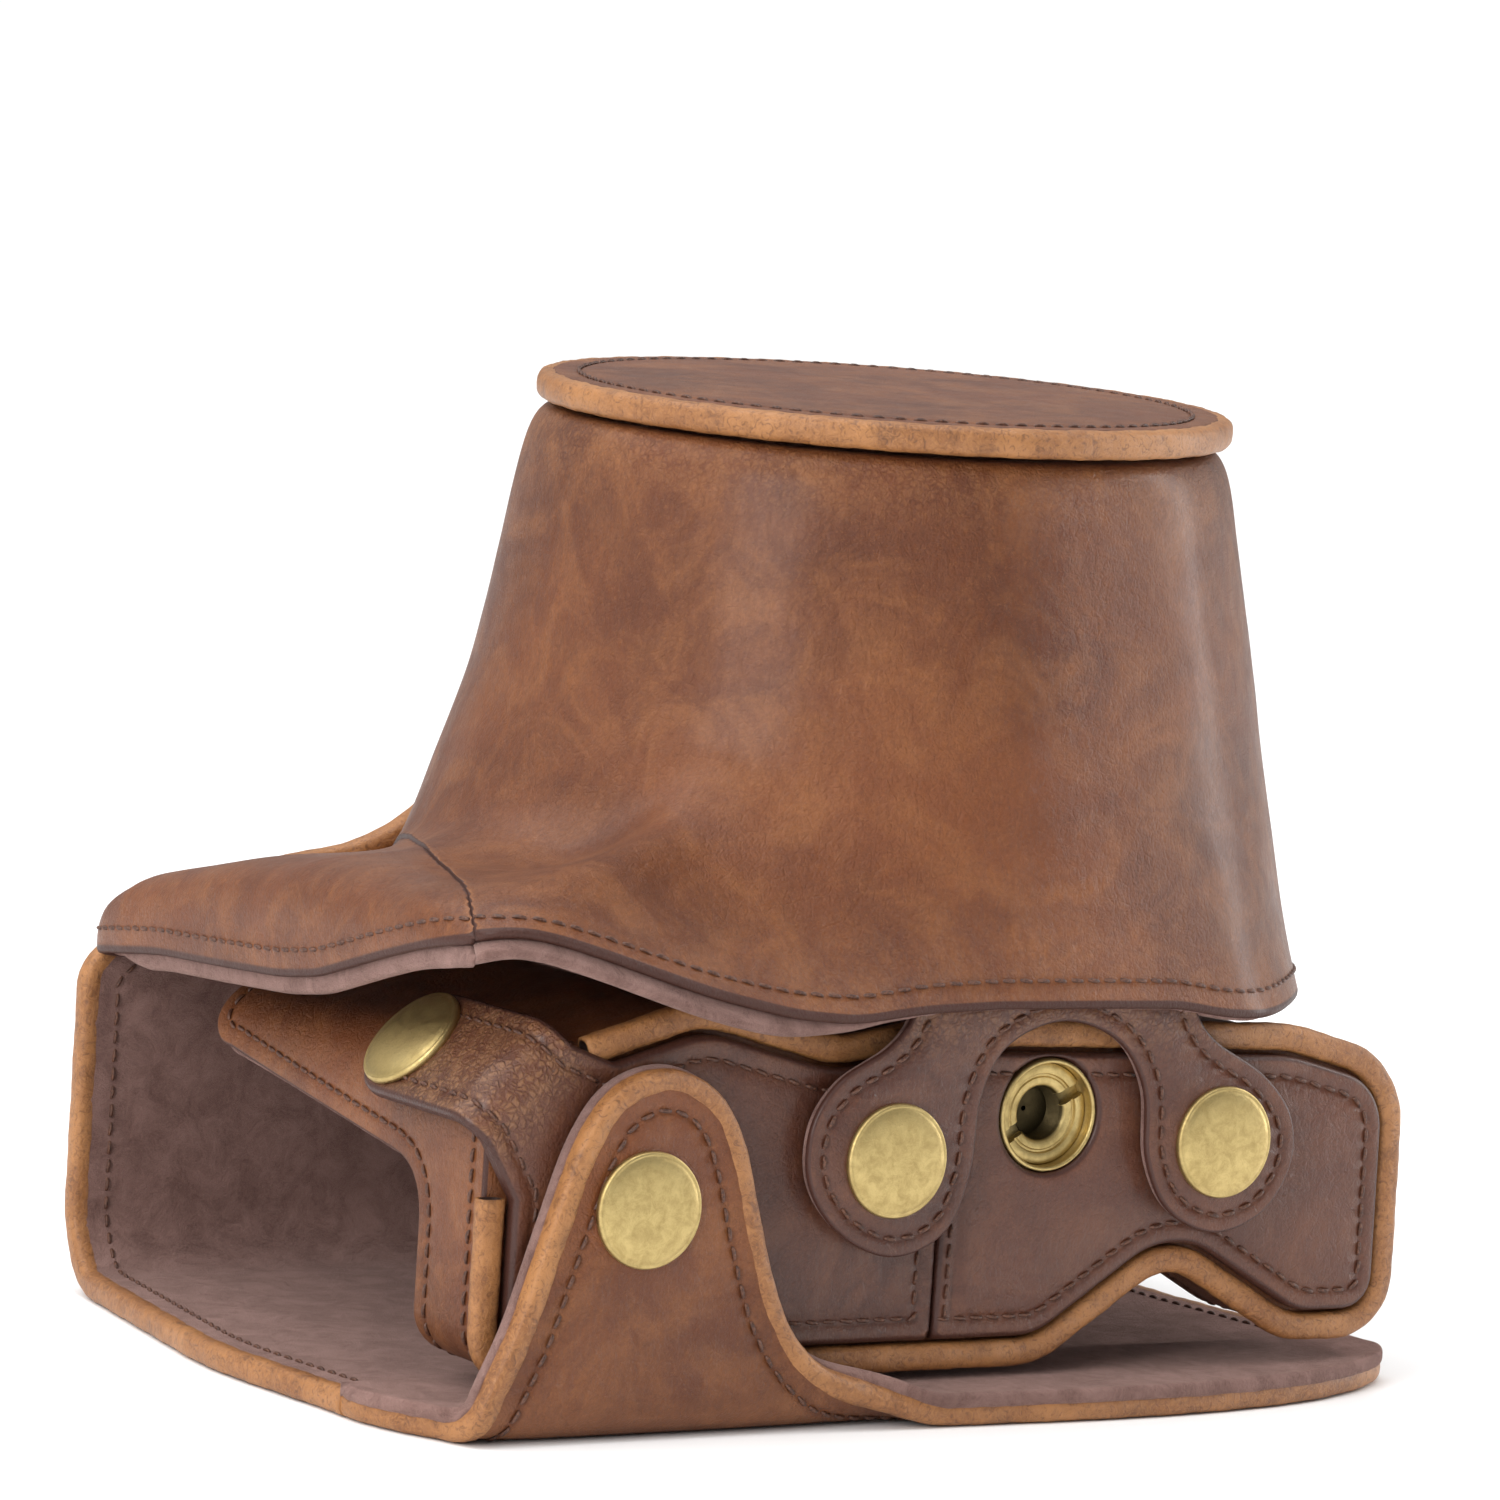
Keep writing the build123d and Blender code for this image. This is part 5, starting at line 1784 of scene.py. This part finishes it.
# ---- wrap round the camera's top and back ---------------------------------------------------
@dataclass
class BackWrap(Assembly):
    """Top panel, back panel and back tab with their folds, linings and tan bindings."""

    leather: float = 1.6
    suede: float = 1.0
    top_y: float = 88.0
    back_z: float = 1.9
    fold_radius: float = 8.6
    parting_y: float = 12.0
    tab_y: float = -5.5
    tab_radius: float = 2.6
    binding_inset: float = 1.1
    stitch_inset: float = 4.1

    @property
    def fold_neutral(self) -> float:
        """Radius on which the fold keeps its length."""
        return self.fold_radius + self.leather / 2

    def cone_back(self, x: np.ndarray, z: np.ndarray) -> np.ndarray:
        """Far side of the snout over X and Z."""
        radius = 49.6 - 0.1762 * (np.maximum(z, 44.0) - 44.0)
        return LENS_Y + np.sqrt(np.maximum(radius**2 - (x - LENS_X) ** 2, 0.0))

    def place_top(self, u: np.ndarray, v: np.ndarray, h: np.ndarray) -> np.ndarray:
        """Strip from the snout's tongue over the fold and on under the back panel.

        Args:
            u, v, h: X, Z on the tongue, and the height above the inner face.

        Returns:
            The points.
        """
        centre_y, centre_z = self.top_y - self.fold_radius, self.back_z + self.fold_radius
        bend = np.clip((centre_z - v) / self.fold_neutral, 0, math.pi / 2)
        past = np.maximum(centre_z - v - self.fold_neutral * math.pi / 2, 0)
        cone = np.minimum(self.cone_back(u, v), 87.7) + 0.35
        rise = smoothstep(v, 49.0, 66.0)
        wall = np.maximum(self.top_y, cone) * (1 - rise) + cone * rise
        lean = np.where(v > 56, 0.97, 1.0)
        radius = self.fold_radius + h
        y = np.where(v > centre_z, wall + h * lean, centre_y + radius * np.cos(bend) - past)
        z = np.where(v > centre_z, v, centre_z - radius * np.sin(bend))
        return np.stack([u, y, z], axis=1)

    def place_tab(self, u: np.ndarray, v: np.ndarray, h: np.ndarray) -> np.ndarray:
        """Front of the back panel, whose left part folds up as the tab.

        Args:
            u, v, h: X, -Y on the flat part, and the height above the inner face.

        Returns:
            The points.
        """
        centre_y, centre_z = self.tab_y + self.tab_radius, self.back_z + self.tab_radius
        neutral = self.tab_radius + self.leather / 2
        most = smoothstep(-u, 3.0, 24.0) * math.pi / 2
        past = np.maximum(v + centre_y, 0)
        bend = np.minimum(past / neutral, most)
        beyond = past - bend * neutral
        radius = self.tab_radius + h
        y = np.where(past > 0, centre_y, -v) - radius * np.sin(bend) - beyond * np.cos(bend)
        z = centre_z - radius * np.cos(bend) + beyond * np.sin(bend)
        return np.stack([u, y, z], axis=1)

    def top_loop(self) -> np.ndarray:
        """Outline of the top strip, ending at the parting on the back panel."""
        end = self.back_z + self.fold_radius - self.fold_neutral * math.pi / 2 - (
            self.top_y - self.fold_radius - self.parting_y)
        corners = [(-66.4, end, 0.1), (-69.0, -45, 70), (-62.4, 4, 40), (-62.4, 37.5, 5), (-55, 44.6, 20),
                   (-40, 49.6, 30), (-24.5, 52.5, 14), (-13.7, 70, 60), (-4, 103.5, 11), (27, 103.5, 11),
                   (36, 70, 60), (46, 53.0, 14), (58, 47.5, 12), (62.5, 41, 6), (62.7, -40, 40),
                   (65.2, end, 0.1)]
        return rounded_loop(corners, 1.0)

    def tab_loop(self) -> np.ndarray:
        """Outline of the front of the back panel with the tab, laid flat."""
        rim = [(-66.6, -12.0), (-66.2, -8.0), (-64.9, -3.5), (-62.9, 0.8), (-61.2, 5.0), (-59.6, 9.4),
               (-56.5, 16.2), (-53.1, 26.6), (-49.9, 35.6), (-45.8, 41.0), (-39.4, 42.8), (-33.5, 40.0),
               (-30.1, 34.4), (-27.5, 25.8), (-24.4, 17.2), (-20.2, 11.6),
               (-14.2, 9.0), (-6.0, 8.5), (4.0, 8.8), (15.6, 9.3), (30.0, 8.8), (44.0, 6.6), (54.0, 3.0),
               (61.5, -1.6), (65.3, -6.4), (65.2, -9.0)]
        loop = np.vstack([smooth_curve(rim, 8), [[rim[-1][0], -self.parting_y]]])
        return resample(loop, 1.0, closed=True)

    def bound(self, name: str, loop: np.ndarray, keep: np.ndarray, place: Placement,
              nodes: Sequence[str]) -> list[bpy.types.Object]:
        """Tan binding and the two sewn rows beside it.

        Args:
            name: start of the names of the pieces.
            loop: outline of the panel.
            keep: which of its points are bound.
            place: bends the pattern.
            nodes: nodes of the frame that the binding stands for.

        Returns:
            The binding and the stitches.
        """
        run = longest_run(loop, keep)
        side = inset_open(run, loop, self.binding_inset)
        low = loop[:, 1].min() - 0.25
        side = np.vstack([[[side[0, 0], low]], side, [[side[-1, 0], low]]])
        centre, up = on_panel(place, resample(side, 0.9), 0.35)
        edge = roll(name + "_bound_edge", centre, up, 2.6, 2.9, sides=20)
        self.dress(edge, Slot.TAN, None, nodes)
        inner = inset_open(run, loop, self.stitch_inset)
        stitches = Stitching(name + "_stitches")
        stitches.add(*on_panel(place, inner, self.leather - 0.13))
        under, normal = on_panel(place, inner, -self.suede)
        stitches.add(under, -normal)
        return [edge, self.dress(stitches.build(), Slot.THREAD, None)]

    def build_top(self) -> None:
        """Top panel with the fold and most of the back panel."""
        loop = self.top_loop()
        low = loop[:, 1].min()
        keep = loop[:, 1] > low + 0.3
        cut = self.without_binding(loop, 1.0)
        outside = CutPanel("top_and_back_leather", [cut], self.leather, self.place_top, 0.4, 1.8, 3.1, 0.12,
                           parting=low)
        pieces = [self.dress(outside.build(), Slot.BROWN, None, ["top_panel", "back_panel"])]
        lining_loop = self.without_binding(loop[loop[:, 1] < 47.5], 1.0)
        lining = CutPanel("top_and_back_suede", [resample(lining_loop, 1.2, True)], self.suede,
                          raised(self.place_top, -self.suede - 0.02), 0.3, 2.0, 3.1, 0.1, 0.05, parting=low)
        pieces.append(self.dress(lining.build(), Slot.SUEDE, None, ["top_panel_lining", "back_panel_lining"]))
        pieces += self.bound("top_and_back", loop, keep, self.place_top,
                             ["top_panel_binding", "back_panel_binding"])
        for piece in pieces:
            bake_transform(piece)

    def without_binding(self, loop: np.ndarray, inset: float) -> np.ndarray:
        """Outline moved in under the binding, but kept at the parting.

        Args:
            loop: the outline, with the parting at its lowest.
            inset: distance to move it.

        Returns:
            The moved outline.
        """
        inner, low = inset_loop(loop, inset), loop[:, 1].min()
        inner[inner[:, 1] < low + inset + 0.4, 1] = low
        return resample(inner, 1.0, closed=True)

    def build_tab(self) -> None:
        """Front of the back panel and the tab."""
        loop = self.tab_loop()
        low = loop[:, 1].min()
        keep = loop[:, 1] > low + 0.3
        cut = self.without_binding(loop, 1.0)
        outside = CutPanel("front_edge_and_tab_leather", [cut], self.leather, self.place_tab, 0.4, 1.1,
                           3.1, 0.25, parting=low)
        pieces = [self.dress(outside.build(), Slot.BROWN, None, ["back_tab"])]
        lining = CutPanel("front_edge_and_tab_suede", [self.without_binding(loop, -0.4)], self.suede + 0.7,
                          raised(self.place_tab, -self.suede - 0.9), 0.5, 1.2, fuzz=0.06, parting=low)
        pieces.append(self.dress(lining.build(), Slot.SUEDE, None, ["back_tab_lining"]))
        pieces += self.bound("front_edge_and_tab", loop, keep, self.place_tab, ["back_tab_binding"])
        for piece in pieces:
            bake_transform(piece)

    def build(self) -> None:
        """Builds the wrap."""
        self.build_top()
        self.build_tab()


def inset_open(run: np.ndarray, loop: np.ndarray, inset: float) -> np.ndarray:
    """Open path beside a run of the outline, on its inner side.

    Args:
        run: consecutive points of the outline.
        loop: the whole outline.
        inset: distance between the two.

    Returns:
        The points of the path.
    """
    tangent = np.gradient(run, axis=0)
    tangent /= np.linalg.norm(tangent, axis=1, keepdims=True)
    turn = 1.0 if signed_area(loop) > 0 else -1.0
    moved = run + inset * turn * np.stack([-tangent[:, 1], tangent[:, 0]], axis=1)
    return moved[distance_to(moved, loop) > inset * 0.96]


@dataclass
class FrontTab(Assembly):
    """Two lobed tab that hangs from the cover's lip and arches over the tripod screw."""

    outer_y: float = -5.55
    leather: float = 1.0
    suede: float = 0.8
    root_z: float = 48.0
    root_x: Point2 = (-9.0, 27.6)

    @staticmethod
    def rubbed(u: np.ndarray, v: np.ndarray) -> np.ndarray:
        """Wear of the leather near the root, over the pattern."""
        return 0.55 * smoothstep(v, 37.0, 45.0)

    def loop(self) -> np.ndarray:
        """Outline of the tab."""
        side = [(-9.0, 46.5), (-9.6, 43.6), (-12.2, 40.8), (-18.0, 37.4), (-21.2, 32.4), (-20.9, 26.0),
                (-16.4, 20.6), (-9.6, 18.2), (-3.2, 20.9), (-0.5, 27.6), (0.2, 35.4), (3.4, 41.0),
                (10.4, 43.5), (17.6, 41.3), (21.6, 35.9), (22.6, 28.0), (26.0, 22.2), (32.4, 19.6),
                (38.8, 21.8), (42.2, 27.0), (41.8, 32.6), (37.6, 37.3), (31.0, 41.0), (28.2, 44.0),
                (27.6, 46.5)]
        curve = smooth_curve(side, 10)
        loop = np.vstack([[[self.root_x[0], self.root_z]], curve, [[self.root_x[1], self.root_z]]])
        return resample(loop, 0.8, closed=True)

    def build(self) -> None:
        """Tab leather, its suede and stitching."""
        loop = self.loop()
        base = self.outer_y + self.leather
        place = xz_plane(base)
        tab = CutPanel("front_tab_leather", [loop], self.leather, place, 0.45, 1.0, 2.0, 0.28,
                       wear=self.rubbed)
        lining = CutPanel("front_tab_suede", [resample(inset_loop(loop, 0.25), 0.9, True)], self.suede,
                          xz_plane(base + self.suede), 0.25, 1.4, fuzz=0.03)
        ring = inset_loop(loop, 2.0)
        stitches = Stitching("front_tab_stitches", pitch=2.2)
        stitches.add(*on_panel(place, longest_run(ring, ring[:, 1] < 45.8), self.leather - 0.12))
        pieces = [self.dress(tab.build(), Slot.PLATE, None, ["front_tab"]),
                  self.dress(lining.build(), Slot.SUEDE, None, ["front_tab_lining"]),
                  self.dress(stitches.build(), Slot.THREAD, None)]
        for piece in pieces:
            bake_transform(piece)


# ---- studio --------------------------------------------------------------------------------
@dataclass
class Studio:
    """White table, soft boxes and the camera."""

    lens: float = 151.2
    place: Point3 = (-377.4, -563.8, 127.7)
    azimuth: float = -31.74
    elevation: float = 4.79
    roll_angle: float = 3.69

    def build_camera(self) -> None:
        """Camera with a long lens."""
        a, e, s = (math.radians(v) for v in (self.azimuth, self.elevation, self.roll_angle))
        back = Vector((math.sin(a) * math.cos(e), -math.cos(a) * math.cos(e), math.sin(e)))
        side = Vector((math.cos(a), math.sin(a), 0.0))
        up = back.cross(side)
        side, up = side * math.cos(s) + up * math.sin(s), up * math.cos(s) - side * math.sin(s)
        data = bpy.data.cameras.new("camera")
        data.lens, data.sensor_width = self.lens, 36.0
        data.clip_start, data.clip_end = 0.05, 20.0
        camera = bpy.data.objects.new("camera", data)
        turn = Matrix((side, up, back)).transposed().to_4x4()
        camera.matrix_world = Matrix.Translation(row(*self.place)) @ turn
        bpy.context.scene.collection.objects.link(camera)
        bpy.context.scene.camera = camera

    def build_table(self) -> None:
        """Wide white table."""
        mesh = bpy.data.meshes.new("table")
        half = 4.0
        corners = [(-half, -half, 0), (half, -half, 0), (half, half, 0), (-half, half, 0)]
        mesh.from_pydata(corners, [], [(0, 1, 2, 3)])
        table = bpy.data.objects.new("table", mesh)
        bpy.context.scene.collection.objects.link(table)
        material = bpy.data.materials.new("white_table")
        material.use_nodes = True
        shader = material.node_tree.nodes["Principled BSDF"]
        shader.inputs["Base Color"].default_value = (0.97, 0.97, 0.97, 1.0)
        shader.inputs["Roughness"].default_value = 0.85
        mesh.materials.append(material)

    def softbox(self, name: str, place: Point3, aim: Point3, size: Point2, power: float) -> None:
        """Rectangular soft light.

        Args:
            name: name of the light.
            place, aim: where it stands and what it faces, in metres.
            size: width and height, in metres.
            power: power in watts.
        """
        light = bpy.data.lights.new(name, "AREA")
        light.shape = "RECTANGLE"
        light.size, light.size_y, light.energy = size[0], size[1], power
        obj = bpy.data.objects.new(name, light)
        obj.location = place
        obj.rotation_euler = (Vector(aim) - Vector(place)).to_track_quat("-Z", "Y").to_euler()
        bpy.context.scene.collection.objects.link(obj)

    def sky_light(self, name: str, place: Point3, strength: float) -> None:
        """Very soft light from a direction, the same all over the table."""
        light = bpy.data.lights.new(name, "SUN")
        light.energy, light.angle = strength, math.radians(75)
        obj = bpy.data.objects.new(name, light)
        obj.rotation_euler = Vector(place).to_track_quat("Z", "Y").to_euler()
        bpy.context.scene.collection.objects.link(obj)

    def build(self) -> None:
        """Builds the studio."""
        self.build_camera()
        self.build_table()
        world = bpy.data.worlds.new("white_room")
        world.use_nodes = True
        tree = world.node_tree
        room = tree.nodes["Background"]
        room.inputs["Color"].default_value = (1.0, 1.0, 1.0, 1.0)
        room.inputs["Strength"].default_value = 0.38
        wall = tree.nodes.new("ShaderNodeBackground")
        wall.inputs["Color"].default_value = (1.0, 1.0, 1.0, 1.0)
        wall.inputs["Strength"].default_value = 1.05
        path, mix = tree.nodes.new("ShaderNodeLightPath"), tree.nodes.new("ShaderNodeMixShader")
        tree.links.new(path.outputs["Is Camera Ray"], mix.inputs[0])
        tree.links.new(room.outputs[0], mix.inputs[1])
        tree.links.new(wall.outputs[0], mix.inputs[2])
        tree.links.new(mix.outputs[0], tree.nodes["World Output"].inputs[0])
        bpy.context.scene.world = world
        self.sky_light("ceiling_light", (-0.25, 0.2, 1.0), 2.9)
        self.softbox("key_box", (-1.0, -0.5, 0.5), (0, 0, 0.05), (0.5, 0.6), 8.0)
        self.softbox("rim_box", (0.85, -0.10, 0.30), (0, 0, 0.06), (0.14, 0.9), 5.0)
        scene = bpy.context.scene
        scene.view_settings.view_transform = "Standard"
        scene.view_settings.look = "None"


def main() -> None:
    logging.basicConfig(level=logging.INFO, format="%(name)s: %(message)s")
    finishes = Finishes.make()
    for assembly in (HalfCase(finishes), BottomPlates(finishes), Hardware(finishes), Cover(finishes),
                     BackWrap(finishes), FrontTab(finishes)):
        assembly.build()
        LOG.info("%s is built", type(assembly).__name__)
    Studio().build()


if __name__ == "__main__":
    main()
